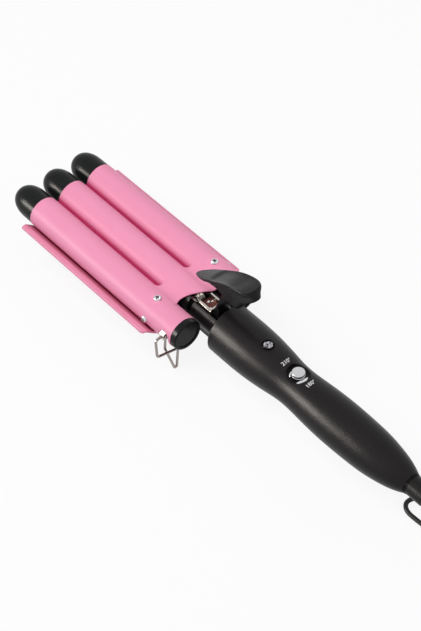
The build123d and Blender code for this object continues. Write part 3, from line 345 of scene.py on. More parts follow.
# Phosphated strip steel: oiled black, it hardly shines.
BLACK_STEEL = Finish("phosphated_strip", "#1A1919", "#121111", 0.45, 0.6, grain_mm=0.4, bump=0.06)
# Steel strip inside the hinge bracket, drawn brown as a painted reflection of the pink barrels.
REFLECTION_BROWN_STEEL = Finish("painted_reflection_strip", "#6E4038", "#472824", 0.33, 0.8, grain_mm=0.7, bump=0.15)
# Nickel on the brass pins of the plug.
NICKEL_BRASS = Finish("nickel_on_brass", "#CFCBC0", "#BDB8AC", 0.22, 1.0, bump=0.04)
# Pad-printed white ink.
WHITE_PRINT = Finish("white_pad_print", "#E6E5E6", "#D8D7D8", 0.5, grain_mm=0.3, bump=0.03)
# The joint between two mouldings: too deep for light to come back from.
SHADOW_GAP = Finish("dark_moulding_joint", "#070707", "#040404", 0.8, grain_mm=0.3, bump=0.0)
# Woven nylon of the coil's tie: its threads are about 0.4 mm.
TIE_WEAVE = Finish("woven_tie", "#252527", "#18181A", 0.7, grain_mm=0.4, bump=0.5)

# Each finish with the CAD nodes that wear it.
NODE_FINISHES: tuple[tuple[Finish, str], ...] = (
    (BARREL_ENAMEL, "barrel_left barrel_right"),
    (PINK_ENAMEL, "barrel_middle barrel_webs bridge_left bridge_right"),
    (PLATE_ENAMEL, "clamp_plate"),
    (BLACK_TIP, "tip_left tip_middle tip_right rear_plug_left rear_plug_right"),
    (BLACK_NYLON, "neck handle_upper_shell handle_lower_shell thumb_lever switch_dish"),
    (BLACK_NYLON, "lamp_ring swivel_sleeve bracket_block"),
    (STAND_WIRE, "stand_left stand_right"),
    (CHROME, "crest_screws flank_screws switch_trim switch_knob"),
    (ZINC_STEEL, "stand_ear_left stand_ear_right jaw_bracket torsion_spring bracket_screws"),
    (ZINC_STEEL, "lever_screws plate_screws strap_screws handle_screw_front handle_screw_rear"),
    (BLACK_STEEL, "plate_strap hinge_pin"),
    (ALUMINIUM, "heat_spreader_left heat_spreader_middle heat_spreader_right"),
    (CERAMIC, "ptc_plate_left ptc_plate_middle ptc_plate_right"),
    (LAMP_RESIN, "lamp_lens"),
    (LAMINATE, "control_board"),
    (NATURAL_NYLON, "switch_block"),
    (BLACK_RUBBER, "lead_coil mains_lead mains_lead_tail strain_relief lead_sleeve"),
    (PLUG_VINYL, "mains_plug"),
    (TIE_WEAVE, "coil_tie"),
)


def dress_nodes() -> None:
    """Give every CAD node its finish."""
    pairs = [(finish, node) for finish, nodes in NODE_FINISHES for node in nodes.split()]
    for finish, node in pairs:
        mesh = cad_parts[node].data
        mesh.materials.clear()
        mesh.materials.append(finish.material())
    LOG.info("dressed %d nodes", len(pairs))


# ----- camera and studio


@dataclass
class Studio:
    """Camera, floor, backdrop and soft lamps, in metres and degrees."""

    azimuth: float = -41.335
    elevation: float = 48.255
    distance: float = 1.300
    aim: Point = (-1.975, -0.805, 0.0)
    focal_pixels: float = 1829.5
    frame_height: int = 631
    sensor: float = 24.0
    plane_size: float = 8.0
    floor_drop: float = 0.0004
    white_share: float = 0.88
    sky_level: float = 0.34
    white: Point = (1.0, 1.0, 1.0)
    # The strip lamp alone makes highlights, and its tube is a little warm.
    warm_gloss: Point = (1.0, 0.93, 0.86)
    # Name, place, power in watts, width and length.
    lamps: tuple[tuple[str, Point, float, float, float], ...] = (
        ("key", (-0.6, 0.1, 1.22), 12.6, 0.7, 0.9),
        ("strip", (-1.15, 0.84, 0.42), 34.0, 0.42, 0.62),
        ("fill", (1.0, -0.7, 1.0), 3.0, 1.2, 1.2),
        ("rim", (0.5, 1.3, 0.8), 2.5, 0.9, 0.9),
    )

    def place_camera(self) -> None:
        """Make the camera and set it as the scene's."""
        data = bpy.data.cameras.new("view")
        data.sensor_fit = "VERTICAL"
        data.sensor_height = self.sensor
        data.lens = self.focal_pixels * self.sensor / self.frame_height
        data.clip_start = 0.01
        data.clip_end = 100.0
        camera = bpy.data.objects.new("view", data)
        bpy.context.collection.objects.link(camera)
        a, e = math.radians(self.azimuth), math.radians(self.elevation)
        back = Vector((math.sin(a) * math.cos(e), -math.cos(a) * math.cos(e), math.sin(e)))
        camera.location = TOOL_FRAME @ Vector(self.aim) + back * self.distance
        camera.rotation_euler = back.to_track_quat("Z", "Y").to_euler()
        bpy.context.scene.camera = camera

    def seen_directly(self, tree: bpy.types.NodeTree) -> bpy.types.NodeSocket:
        """Tell the rays that meet a surface by sight.

        Args:
            tree: the tree that asks.

        Returns:
            A socket of 1 for rays from the camera, from gloss and from glass, else 0.
        """
        path = add_node(tree, "ShaderNodeLightPath")
        seen = path.outputs["Is Camera Ray"]
        for kind in ("Is Glossy Ray", "Is Transmission Ray"):
            other = path.outputs[kind]
            seen = add_node(tree, "ShaderNodeMath", {"operation": "MAXIMUM"}, i0=seen, i1=other).outputs[0]
        return seen

    def white_surface(self, name: str) -> bpy.types.Material:
        """Make a surface that the camera sees as white and that keeps soft shadows.

        Args:
            name: the material's name.

        Returns:
            The new material.
        """
        material, tree = new_material(name)
        seen = self.seen_directly(tree)
        lit = add_node(tree, "ShaderNodeBsdfDiffuse", Color=srgb("#EDEDED"), Roughness=1.0)
        plain_white = add_node(tree, "ShaderNodeEmission", Color=(*self.white, 1.0), Strength=1.0)
        share = add_node(
            tree, "ShaderNodeMath", {"operation": "MULTIPLY"}, i0=seen, i1=self.white_share
        ).outputs[0]
        mixed = add_node(
            tree, "ShaderNodeMixShader", Fac=share, i1=lit.outputs[0], i2=plain_white.outputs[0]
        )
        add_node(tree, "ShaderNodeOutputMaterial", Surface=mixed.outputs[0])
        return material

    def lay_floor(self) -> None:
        """Make the pale floor and the backdrop."""
        surface = self.white_surface("studio_white")
        upright = Matrix.Rotation(math.radians(90), 4, "X")
        for name, matrix in (
            ("floor", Matrix.Translation((0.0, 0.0, -self.floor_drop))),
            ("backdrop", Matrix.Translation((0.0, self.plane_size / 2, 0.0)) @ upright),
        ):
            bm = bmesh.new()
            bmesh.ops.create_grid(bm, x_segments=1, y_segments=1, size=self.plane_size / 2)
            bmesh.ops.transform(bm, matrix=matrix, verts=bm.verts)
            mesh = bpy.data.meshes.new(name)
            bm.to_mesh(mesh)
            bm.free()
            mesh.materials.append(surface)
            plane = bpy.data.objects.new(name, mesh)
            bpy.context.collection.objects.link(plane)

    def hang_lamps(self) -> None:
        """Hang large soft lamps and set an even world."""
        for name, place, power, width, length in self.lamps:
            data = bpy.data.lights.new(name, "AREA")
            data.energy = power
            data.color = self.warm_gloss if name == "strip" else self.white
            data.shape = "RECTANGLE"
            data.size = length
            data.size_y = width
            lamp = bpy.data.objects.new(name, data)
            bpy.context.collection.objects.link(lamp)
            lamp.location = place
            lamp.rotation_euler = Vector(place).to_track_quat("Z", "Y").to_euler()
            lamp.visible_glossy = name == "strip"
            lamp.visible_diffuse = name != "strip"
        world = bpy.data.worlds.new("studio")
        world.use_nodes = True
        tree = world.node_tree
        tree.nodes.clear()
        level = add_node(
            tree, "ShaderNodeMapRange", Value=self.seen_directly(tree), To_Min=self.sky_level, To_Max=1.0
        ).outputs[0]
        sky = add_node(tree, "ShaderNodeBackground", Color=(*self.white, 1.0), Strength=level)
        add_node(tree, "ShaderNodeOutputWorld", Surface=sky.outputs[0])
        bpy.context.scene.world = world
        bpy.context.scene.view_settings.view_transform = "Standard"


# ----- mesh helpers


def shaped_grid(bm: bmesh.types.BMesh, faces: tuple[int, int], place: Callable[..., Sequence[float]]) -> None:
    """Add a grid and bend it into a surface.

    Args:
        bm: the mesh it joins.
        faces: how many faces it has along u and along v.
        place: gives the point in millimetres of each (u, v), both from 0 to 1.
    """
    made = bmesh.ops.create_grid(bm, x_segments=faces[0], y_segments=faces[1], size=1.0)["verts"]
    for vert in made:
        vert.co = place((vert.co.x + 1) / 2, (vert.co.y + 1) / 2)


def open_edges(bm: bmesh.types.BMesh) -> list[bmesh.types.BMEdge]:
    """Give the edges that only one face has."""
    return [edge for edge in bm.edges if edge.is_boundary]


def close_shell(bm: bmesh.types.BMesh) -> None:
    """Merge doubles and turn the faces of closed shells outwards."""
    bmesh.ops.remove_doubles(bm, verts=bm.verts, dist=1e-4)
    bmesh.ops.recalc_face_normals(bm, faces=bm.faces)


def round_edges(
    bm: bmesh.types.BMesh, edges: Iterable[bmesh.types.BMEdge], radius: float, segments: int
) -> None:
    """Round edges off, as a mould or a deburring tool leaves them.

    Args:
        bm: the mesh.
        edges: the edges.
        radius: how far the rounds reach, in millimetres.
        segments: faces across each round.
    """
    bmesh.ops.bevel(
        bm, geom=list(edges), offset=radius, segments=segments, profile=0.5, affect="EDGES",
        material=-1, clamp_overlap=True,
    )


def turned(
    bm: bmesh.types.BMesh, outline: Sequence[tuple[float, float]], centre: Vector, axis: Vector = UP,
    steps: int = 64,
) -> None:
    """Turn an outline into a round solid.

    Args:
        bm: the mesh it joins.
        outline: (radius, height) pairs in millimetres, from axis to axis or closed.
        centre: the foot of the axis.
        axis: the axis's direction, square to the x axis or level.
        steps: faces round it.
    """
    across = RIGHT if abs(axis.x) < 1e-6 else UP
    verts = [bm.verts.new(centre + across * radius + axis * height) for radius, height in outline]
    edges = [bm.edges.new(pair) for pair in zip(verts, verts[1:])]
    bmesh.ops.spin(
        bm, geom=verts + edges, cent=centre, axis=axis, angle=math.tau, steps=steps, use_merge=True
    )


def rounded(
    centre: tuple[float, float], radius: float, start: float, steps: int = 4, turn: float = 90.0,
    rise: float | None = None,
) -> list[tuple[float, float]]:
    """Give the points of an arc in an outline.

    Args:
        centre: its centre, as radius and height.
        radius: its radius.
        start: the angle of its first point in degrees.
        steps: how many faces it has.
        turn: how far it runs on from there, in degrees.
        rise: its half height, where that isn't its radius.

    Returns:
        The points in order.
    """
    tall = radius if rise is None else rise
    angles = [math.radians(start + turn * step / steps) for step in range(steps + 1)]
    return [(centre[0] + radius * math.cos(a), centre[1] + tall * math.sin(a)) for a in angles]


def eased(value: float, table: Table) -> float:
    """Read a smooth curve through a few points.

    Args:
        value: where to read it.
        table: (place, amount) pairs in rising order of place.

    Returns:
        The amount there, eased between its two neighbours.
    """
    if value <= table[0][0]:
        return table[0][1]
    for index in range(len(table) - 1):
        (x1, y1), (x2, y2) = table[index], table[index + 1]
        if value <= x2:
            before = table[max(index - 1, 0)]
            after = table[min(index + 2, len(table) - 1)]
            slope1 = (y2 - before[1]) / (x2 - before[0])
            slope2 = (after[1] - y1) / (after[0] - x1)
            t, run = (value - x1) / (x2 - x1), x2 - x1
            return (
                y1 * (1 + 2 * t) * (1 - t) ** 2
                + slope1 * run * t * (1 - t) ** 2
                + y2 * t * t * (3 - 2 * t)
                + slope2 * run * t * t * (t - 1)
            )
    return table[-1][1]


def held(value: float) -> float:
    """Hold a share between 0 and 1."""
    return min(1.0, max(0.0, value))


def enter(piece: bpy.types.Object, body: Body, slot: Slot, replaced: Sequence[str] = ()) -> None:
    """Put a piece in the scene and say what it belongs to.

    Args:
        piece: the new object.
        body: the body it rides on.
        slot: its material slot of the record; not used.
        replaced: the CAD nodes whose place it takes.
    """
    bpy.context.collection.objects.link(piece)
    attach(piece, body.value)
    if replaced:
        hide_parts(*replaced)


def finished(
    bm: bmesh.types.BMesh, name: str, finishes: Finish | Sequence[Finish], body: Body, slot: Slot,
    replaced: Sequence[str] = (), crease: float = 40.0,
) -> bpy.types.Object:
    """Turn a mesh drawn in tool millimetres into a finished piece.

    Args:
        bm: the mesh, which is freed.
        name: the piece's name.
        finishes: its finish, or one for each material index.
        body: the body it rides on.
        slot: its material slot of the record.
        replaced: the CAD nodes whose place it takes.
        crease: edges that turn by more degrees than this stay sharp.

    Returns:
        The new object, at the origin.
    """
    bmesh.ops.transform(bm, matrix=TOOL_FRAME, verts=bm.verts)
    mesh = bpy.data.meshes.new(name)
    bm.to_mesh(mesh)
    bm.free()
    mesh.shade_smooth()
    mesh.set_sharp_from_angle(angle=math.radians(crease))
    for finish in [finishes] if isinstance(finishes, Finish) else finishes:
        mesh.materials.append(finish.material())
    piece = bpy.data.objects.new(name, mesh)
    enter(piece, body, slot, replaced)
    return piece


def round_wire(
    name: str, route: Sequence[Point], radius: float, finish: Finish, body: Body, slot: Slot,
    replaced: Sequence[str], fineness: tuple[int, int],
) -> bpy.types.Object:
    """Lay a round wire or lead along a smooth line.

    Args:
        name: the piece's name.
        route: the points that lead the line, in tool millimetres.
        radius: the wire's radius in millimetres.
        finish: its finish.
        body: the body it rides on.
        slot: its material slot of the record.
        replaced: the CAD nodes whose place it takes.
        fineness: the curve's resolution round the wire and along it.

    Returns:
        The new curve object, at the origin.
    """
    data = bpy.data.curves.new(name, "CURVE")
    data.dimensions = "3D"
    data.bevel_depth = radius * MM
    data.bevel_resolution = fineness[0]
    data.use_fill_caps = True
    spline = data.splines.new("NURBS")
    spline.points.add(len(route) - 1)
    for point, place in zip(spline.points, route):
        point.co = (*(TOOL_FRAME @ Vector(place)), 1.0)
    spline.order_u = 3
    spline.use_endpoint_u = True
    spline.resolution_u = fineness[1]
    data.materials.append(finish.material())
    wire = bpy.data.objects.new(name, data)
    enter(wire, body, slot, replaced)
    return wire


# ----- barrel head


@dataclass
class BarrelHead:
    """The enamelled skin of the barrels where they run together at the rear, in mm."""

    valley_r: float = 10.7
    valley_end: float = 39.5
    valley_end_r: float = 5.5
    skin_front: float = 44.6
    skin_half_width: float = 21.4
    skin_faces: tuple[int, int] = (86, 40)
    # The coat lies this far over the bare metal, and its side edges tuck into the barrels.
    coat: float = 0.14
    tuck: float = 0.35
    tuck_from: float = 0.96
    # Shares of the skin's length: turned-down rear rim, top, then the wall at the valley's
    # end, of which the first part is the round and the last part a toe along the web.
    rim_share: float = 0.12
    rim_drop: float = 2.2
    top_share: float = 0.78
    edge_r: float = 1.0
    round_share: float = 0.35
    toe_share: float = 0.84
    toe_front: float = 46.0
    floor_z: float = 1.6
    # On the middle barrel the front of the skin dips until it meets the tube.
    dip: float = 0.3
    dip_from: float = 0.75
    dip_half_width: float = 7.2
    wall: float = 1.4
    tube_faces: tuple[int, int] = (96, 24)
    tube_front: float = 160.0
    tube_rear: float = 12.0
    tube_inset: float = 0.4
    tube_blend: float = 4.0
    collar_front: float = 27.0
    rear_edge: Table = (
        (-21.4, 15.0), (-17.0, 17.6), (-15.3, 18.6), (-12.4, 19.4), (-8.6, 18.4), (-4.1, 15.0),
        (-1.5, 13.0), (1.2, 11.5), (4.3, 10.5), (8.3, 10.0), (21.4, 10.0),
    )

    def height(self, x: float) -> float:
        """Give the height of the joined barrels.

        Args:
            x: where across them.

        Returns:
            The height: round on a barrel, hollow in a filled valley.
        """
        half_pitch = BARREL_PITCH / 2
        reach = BARREL_R + self.valley_r
        touch = half_pitch * BARREL_R / reach
        a = abs(x)
        if a <= touch:
            return math.sqrt(BARREL_R**2 - a * a)
        if a <= BARREL_PITCH - touch:
            hollow = math.sqrt(self.valley_r**2 - (a - half_pitch) ** 2)
            return math.sqrt(reach**2 - half_pitch**2) - hollow
        return math.sqrt(BARREL_R**2 - (BARREL_PITCH - a) ** 2)

    def front_edge(self, x: float) -> float:
        """Give where the skin ends forwards, round the end of each open valley.

        Args:
            x: where across the barrels.

        Returns:
            The y of its front edge.
        """
        aside = abs(abs(x) - BARREL_PITCH / 2)
        if aside >= self.valley_end_r:
            return self.skin_front
        return self.valley_end + self.valley_end_r - math.sqrt(self.valley_end_r**2 - aside**2)

    def skin_point(self, u: float, v: float) -> Point:
        """Give a point of the skin.

        Args:
            u: its share of the width, from left to right.
            v: its share of the length: the rear rim, the top, the end wall, the toe.

        Returns:
            The point.
        """
        x = self.skin_half_width * (2 * u - 1)
        aside = abs(x) / self.skin_half_width
        tucked = self.tuck * max(0.0, aside - self.tuck_from) / (1 - self.tuck_from)
        top = self.height(x) + self.coat - tucked
        rear, front = eased(x, self.rear_edge), self.front_edge(x)
        if v < self.rim_share:
            angle = math.radians(90 * v / self.rim_share)
            down = self.rim_drop * (1 - v / self.rim_share)
            return x, rear + self.edge_r * (1 - math.sin(angle)), top - down
        if v <= self.top_share:
            share = (v - self.rim_share) / (self.top_share - self.rim_share)
            dipped = self.dip * max(0.0, share - self.dip_from) / (1 - self.dip_from)
            sink = dipped if abs(x) < self.dip_half_width else 0.0
            return x, rear + (front - self.edge_r - rear) * share, top - sink
        share = (v - self.top_share) / (1 - self.top_share)
        if share < self.round_share:
            angle = math.radians(90 * share / self.round_share)
            y = front - self.edge_r + self.edge_r * math.sin(angle)
            return x, y, top - self.edge_r * (1 - math.cos(angle))
        drop = (share - self.round_share) / (1 - self.round_share)
        if drop < self.toe_share:
            wall_top = top - self.edge_r
            return x, front, wall_top - (wall_top - self.floor_z) * drop / self.toe_share
        toe = (drop - self.toe_share) / (1 - self.toe_share)
        return x, front + (self.toe_front - front) * toe, self.floor_z

    def tube_point(self, u: float, v: float) -> Point:
        """Give a point of the middle barrel, whose rear end follows the skin's rear edge.

        Args:
            u: its share of the way round.
            v: its share of the length, from the rear.

        Returns:
            The point.
        """
        angle = math.tau * u
        x, z = BARREL_R * math.cos(angle), BARREL_R * math.sin(angle)
        rear = self.tube_rear
        if z > 0:
            follow = min(1.0, z / self.tube_blend)
            rear += (eased(x, self.rear_edge) + self.tube_inset - rear) * follow
        return x, rear + (self.tube_front - rear) * v, z

    def build(self) -> None:
        """Make the skin and the middle barrel."""
        bm = bmesh.new()
        shaped_grid(bm, self.skin_faces, self.skin_point)
        bmesh.ops.recalc_face_normals(bm, faces=bm.faces)
        if sum(face.normal.z for face in bm.faces) < 0:
            bmesh.ops.reverse_faces(bm, faces=bm.faces)
        bridges = ("bridge_left", "bridge_right")
        finished(bm, "barrel_housing", PINK_ENAMEL, Body.HEAD, Slot.PINK, bridges, crease=60.0)

        bm = bmesh.new()
        shaped_grid(bm, self.tube_faces, self.tube_point)
        close_shell(bm)
        bmesh.ops.solidify(bm, geom=bm.faces, thickness=self.wall)
        bmesh.ops.recalc_face_normals(bm, faces=bm.faces)
        for face in bm.faces:
            face.material_index = int(face.calc_center_median().y < self.collar_front)
        both = (PINK_ENAMEL, BLACK_NYLON)
        finished(bm, "middle_barrel_tube", both, Body.HEAD, Slot.PINK, ["barrel_middle"])
        LOG.info("barrel head: housing skin and middle tube")


@dataclass
class PanScrews:
    """Chromed pan-head cross screws of the barrels, in mm."""

    head_r: float = 2.8
    head_h: float = 1.7
    edge_h: float = 0.75
    dome_power: float = 2.6
    recess_r: float = 1.55
    recess_half_width: float = 0.36
    recess_depth: float = 1.0
    recess_taper: float = 0.45
    sunk: float = 0.3
    shank_r: float = 1.4
    shank_length: float = 4.4
    shank_middle: float = -2.4
    screw_y: float = 27.6
    head_faces: tuple[int, int] = (30, 30)
    turns: tuple[float, ...] = (22.0, 64.0, 41.0, 8.0)

    def crown(self, radius: float) -> float:
        """Give the height of the domed head at a radius."""
        rim = min(1.0, radius / self.head_r)
        return self.edge_h + (self.head_h - self.edge_h) * math.sqrt(max(0.0, 1 - rim**self.dome_power))

    def head_point(self, u: float, v: float, turn: float) -> Point:
        """Give a point of the head: a domed disc with a cross sunk into its middle.

        Args:
            u: its share of the square that is drawn out to the disc.
            v: the same, the other way.
            turn: the turn of the cross, in degrees.

        Returns:
            The point.
        """
        a, b = 2 * u - 1, 2 * v - 1
        reach = max(abs(a), abs(b))
        length = math.hypot(a, b)
        if length > 1e-9:
            a, b = a * reach / length, b * reach / length
        radius = reach * self.head_r
        z = self.crown(radius)
        c, s = math.cos(math.radians(turn)), math.sin(math.radians(turn))
        x, y = a * self.head_r, b * self.head_r
        along, across = abs(x * c + y * s), abs(y * c - x * s)
        thin, far = min(along, across), max(along, across)
        if radius < self.head_r * 0.98 and far < self.recess_r and thin < self.recess_half_width:
            z -= self.recess_depth * (1 - self.recess_taper * far / self.recess_r)
        return x, y, z

    def build(self) -> None:
        """Make both pairs of screws."""
        turns = iter(self.turns)
        for name, node, offset, height, normals in (
            ("crest_screw_heads", "crest_screws", BARREL_PITCH, BARREL_R, (UP, UP)),
            ("flank_screw_heads", "flank_screws", BARREL_PITCH + BARREL_R, 0.0, (-RIGHT, RIGHT)),
        ):
            bm = bmesh.new()
            for side, normal in zip((-1, 1), normals):
                place = Vector((side * offset, self.screw_y, height))
                self.add_screw(bm, place, normal, next(turns))
            finished(bm, name, (CHROME, RECESS_PAINTED_SHADE), Body.HEAD, Slot.CHROME, [node], crease=28.0)
        LOG.info("pan screws: %d", len(self.turns))

    def add_screw(self, bm: bmesh.types.BMesh, place: Vector, normal: Vector, turn: float) -> None:
        """Add one screw, its head, its edge and its shank.

        Args:
            bm: the mesh it joins.
            place: the foot of its head.
            normal: the way that its head faces.
            turn: the turn of its cross, in degrees.
        """
        one = bmesh.new()
        shaped_grid(one, self.head_faces, lambda u, v: self.head_point(u, v, turn))
        lower = bmesh.ops.extrude_edge_only(one, edges=open_edges(one))["geom"]
        for vert in (item for item in lower if isinstance(item, bmesh.types.BMVert)):
            vert.co.z = -self.sunk
        bmesh.ops.contextual_create(one, geom=open_edges(one))
        r = self.shank_r
        shank = bmesh.ops.create_cone(
            one, cap_ends=True, segments=24, radius1=r, radius2=r, depth=self.shank_length
        )
        bmesh.ops.translate(one, verts=shank["verts"], vec=(0, 0, self.shank_middle))
        close_shell(one)
        # Faces inside the cross recess take the painted recess shade.
        for face in one.faces:
            spot = face.calc_center_median()
            radius = math.hypot(spot.x, spot.y)
            face.material_index = int(radius < self.recess_r and 0.0 < spot.z < self.crown(radius) - 0.1)
        turn_to = normal.to_track_quat("Z", "Y").to_matrix().to_4x4()
        bmesh.ops.transform(one, matrix=Matrix.Translation(place) @ turn_to, verts=one.verts)
        scratch = bpy.data.meshes.new("scratch_screw")
        one.to_mesh(scratch)
        one.free()
        bm.from_mesh(scratch)
        bpy.data.meshes.remove(scratch)


# ----- thumb lever


@dataclass
class ThumbLever:
    """The moulded thumb lever: a dished leaf on a deep tapering web, in mm."""

    length: float = 67.6
    lean: float = 27.0
    dish_start: float = 22.0
    dish_curve: float = 4.0
    dish_enter: float = 4.0
    dish_leave: float = 12.0
    dish_rear_gap: float = 4.0
    dish_depth: float = 1.3
    crest_y: Table = (
        (0.0, 15.4), (13.6, 3.8), (29.9, -9.8), (44.2, -22.1), (54.2, -31.5), (67.6, -44.3),
    )
    crest_z: Table = ((0.0, 31.2), (13.6, 38.7), (29.9, 47.6), (44.2, 55.0), (54.2, 58.4), (67.6, 61.3))
    half_widths: Table = (
        (0.0, 0.3), (1.0, 2.0), (4.2, 3.9), (9.0, 5.6), (13.6, 6.8), (24.0, 7.7), (35.0, 8.3),
        (44.0, 8.65), (54.0, 9.05), (58.5, 9.0), (62.0, 8.5), (65.4, 7.0), (67.0, 4.8), (67.6, 0.4),
    )
    depths: Table = (
        (0.0, 1.6), (3.0, 2.6), (9.0, 4.2), (14.0, 5.6), (19.0, 7.4), (23.5, 10.0), (27.5, 14.2),
        (31.0, 19.4), (35.0, 24.0), (40.0, 25.2), (44.2, 22.6), (48.0, 20.0), (54.2, 16.8),
        (59.9, 13.6), (64.0, 11.0), (67.0, 8.8), (67.6, 7.6),
    )
    # From the top's middle round the side to the underside's middle: share of the half
    # width, then a depth in mm down to the rim and a share of the web's depth below it.
    rim: Table = ((0.0, 0.0), (0.5, 0.1), (0.84, 0.18), (0.95, 0.26), (0.99, 0.5), (1.0, 1.0), (0.95, 2.6))
    web: Table = ((0.74, 0.22), (0.60, 0.50), (0.52, 0.82), (0.38, 0.97), (0.0, 1.0))
    dished_corners: int = 3
    full_rim_depth: float = 6.0
    faces_along: int = 44
    # Side view of the stem that stands on the bracket's block: (y, z) round it.
    stem: Table = (
        (-15.0, 35.0), (-11.6, 27.4), (-9.8, 21.6), (-7.8, 16.4), (-5.7, 12.3), (-5.7, 3.8),
        (-11.7, 3.8), (-11.7, 12.8), (-12.0, 17.4), (-12.2, 22.4), (-14.4, 27.0), (-19.5, 30.5),
        (-23.0, 36.0),
    )
    stem_half_width: float = 3.9
    stem_edge_r: float = 0.9

    def place(self, along: float, aside: float, below: float) -> Point:
        """Turn a place on the lever into the tool's frame.

        Args:
            along: distance from the tip along its top.
            aside: distance from its middle.
            below: depth below its top.

        Returns:
            The point.
        """
        lean = math.radians(self.lean)
        y = eased(along, self.crest_y) - below * math.sin(lean)
        return aside, y, eased(along, self.crest_z) - below * math.cos(lean)

    def dish(self, along: float, share: float) -> float:
        """Give the depth of the thumb dish, which has a curved front edge.

        Args:
            along: distance from the tip.
            share: share of the half width.

        Returns:
            The depth.
        """
        front = self.dish_start + self.dish_curve * share * share
        enter_share = held((along - front) / self.dish_enter)
        leave_share = held((self.length - self.dish_rear_gap - along) / self.dish_leave)
        enter_share, leave_share = (t * t * (3 - 2 * t) for t in (enter_share, leave_share))
        return self.dish_depth * enter_share * leave_share * max(0.0, 1 - share**4)

    def body_point(self, u: float, v: float) -> Point:
        """Give a point of the leaf and its web.

        Args:
            u: its share of the way round, from the underside's middle.
            v: its share of the length, close together at both ends.

        Returns:
            The point.
        """
        along = self.length * (1 - math.cos(math.pi * v)) / 2
        half = eased(along, self.half_widths)
        depth = eased(along, self.depths)
        side = -1 if u < 0.5 else 1
        steps = [*self.rim, *self.web]
        position = (1 - abs(2 * u - 1)) * (len(steps) - 1)
        index = min(int(position), len(steps) - 2)
        t = position - index
        rim_scale = min(1.0, depth / self.full_rim_depth)
        corners = []
        for number in (index, index + 1):
            share, drop = steps[number]
            if number < len(self.rim):
                sink = self.dish(along, share) if number < self.dished_corners else 0.0
                corners.append((share * half, drop * rim_scale + sink))
            else:
                low = self.rim[-1][1] * rim_scale
                corners.append((share * half, low + (depth - low) * drop))
        (x1, d1), (x2, d2) = corners
        return self.place(along, side * (x1 + (x2 - x1) * t), d1 + (d2 - d1) * t)

    def build(self) -> None:
        """Make the lever: the leaf with its web, and the stem below."""
        bm = bmesh.new()
        around = 2 * (len(self.rim) + len(self.web) - 1)
        shaped_grid(bm, (around, self.faces_along), self.body_point)
        bmesh.ops.remove_doubles(bm, verts=bm.verts, dist=0.02)
        bmesh.ops.holes_fill(bm, edges=open_edges(bm), sides=0)
        outline = [bm.verts.new((-self.stem_half_width, y, z)) for y, z in self.stem]
        grown = bmesh.ops.extrude_face_region(bm, geom=[bm.faces.new(outline)])["geom"]
        verts = [item for item in grown if isinstance(item, bmesh.types.BMVert)]
        bmesh.ops.translate(bm, verts=verts, vec=(2 * self.stem_half_width, 0, 0))
        stem_verts = {*outline, *verts}
        stem_edges = [edge for edge in bm.edges if not stem_verts.isdisjoint(edge.verts)]
        bmesh.ops.recalc_face_normals(bm, faces=bm.faces)
        round_edges(bm, stem_edges, self.stem_edge_r, 3)
        bmesh.ops.recalc_face_normals(bm, faces=bm.faces)
        lean = math.radians(self.lean)
        top_way = Vector((0, math.sin(lean), math.cos(lean)))
        # Faces that turn away from the top take the painted shade of the flanks.
        for face in bm.faces:
            face.material_index = int(face.normal.dot(top_way) < 0.5)
        both = (LEVER_NYLON, LEVER_SHADED_SIDE)
        lever = finished(
            bm, "thumb_lever_moulding", both, Body.HEAD, Slot.PLASTIC, ["thumb_lever"], crease=50.0
        )
        smoother = lever.modifiers.new("smooth", "SUBSURF")
        smoother.levels = smoother.render_levels = 2
        LOG.info("thumb lever")


# ----- hinge


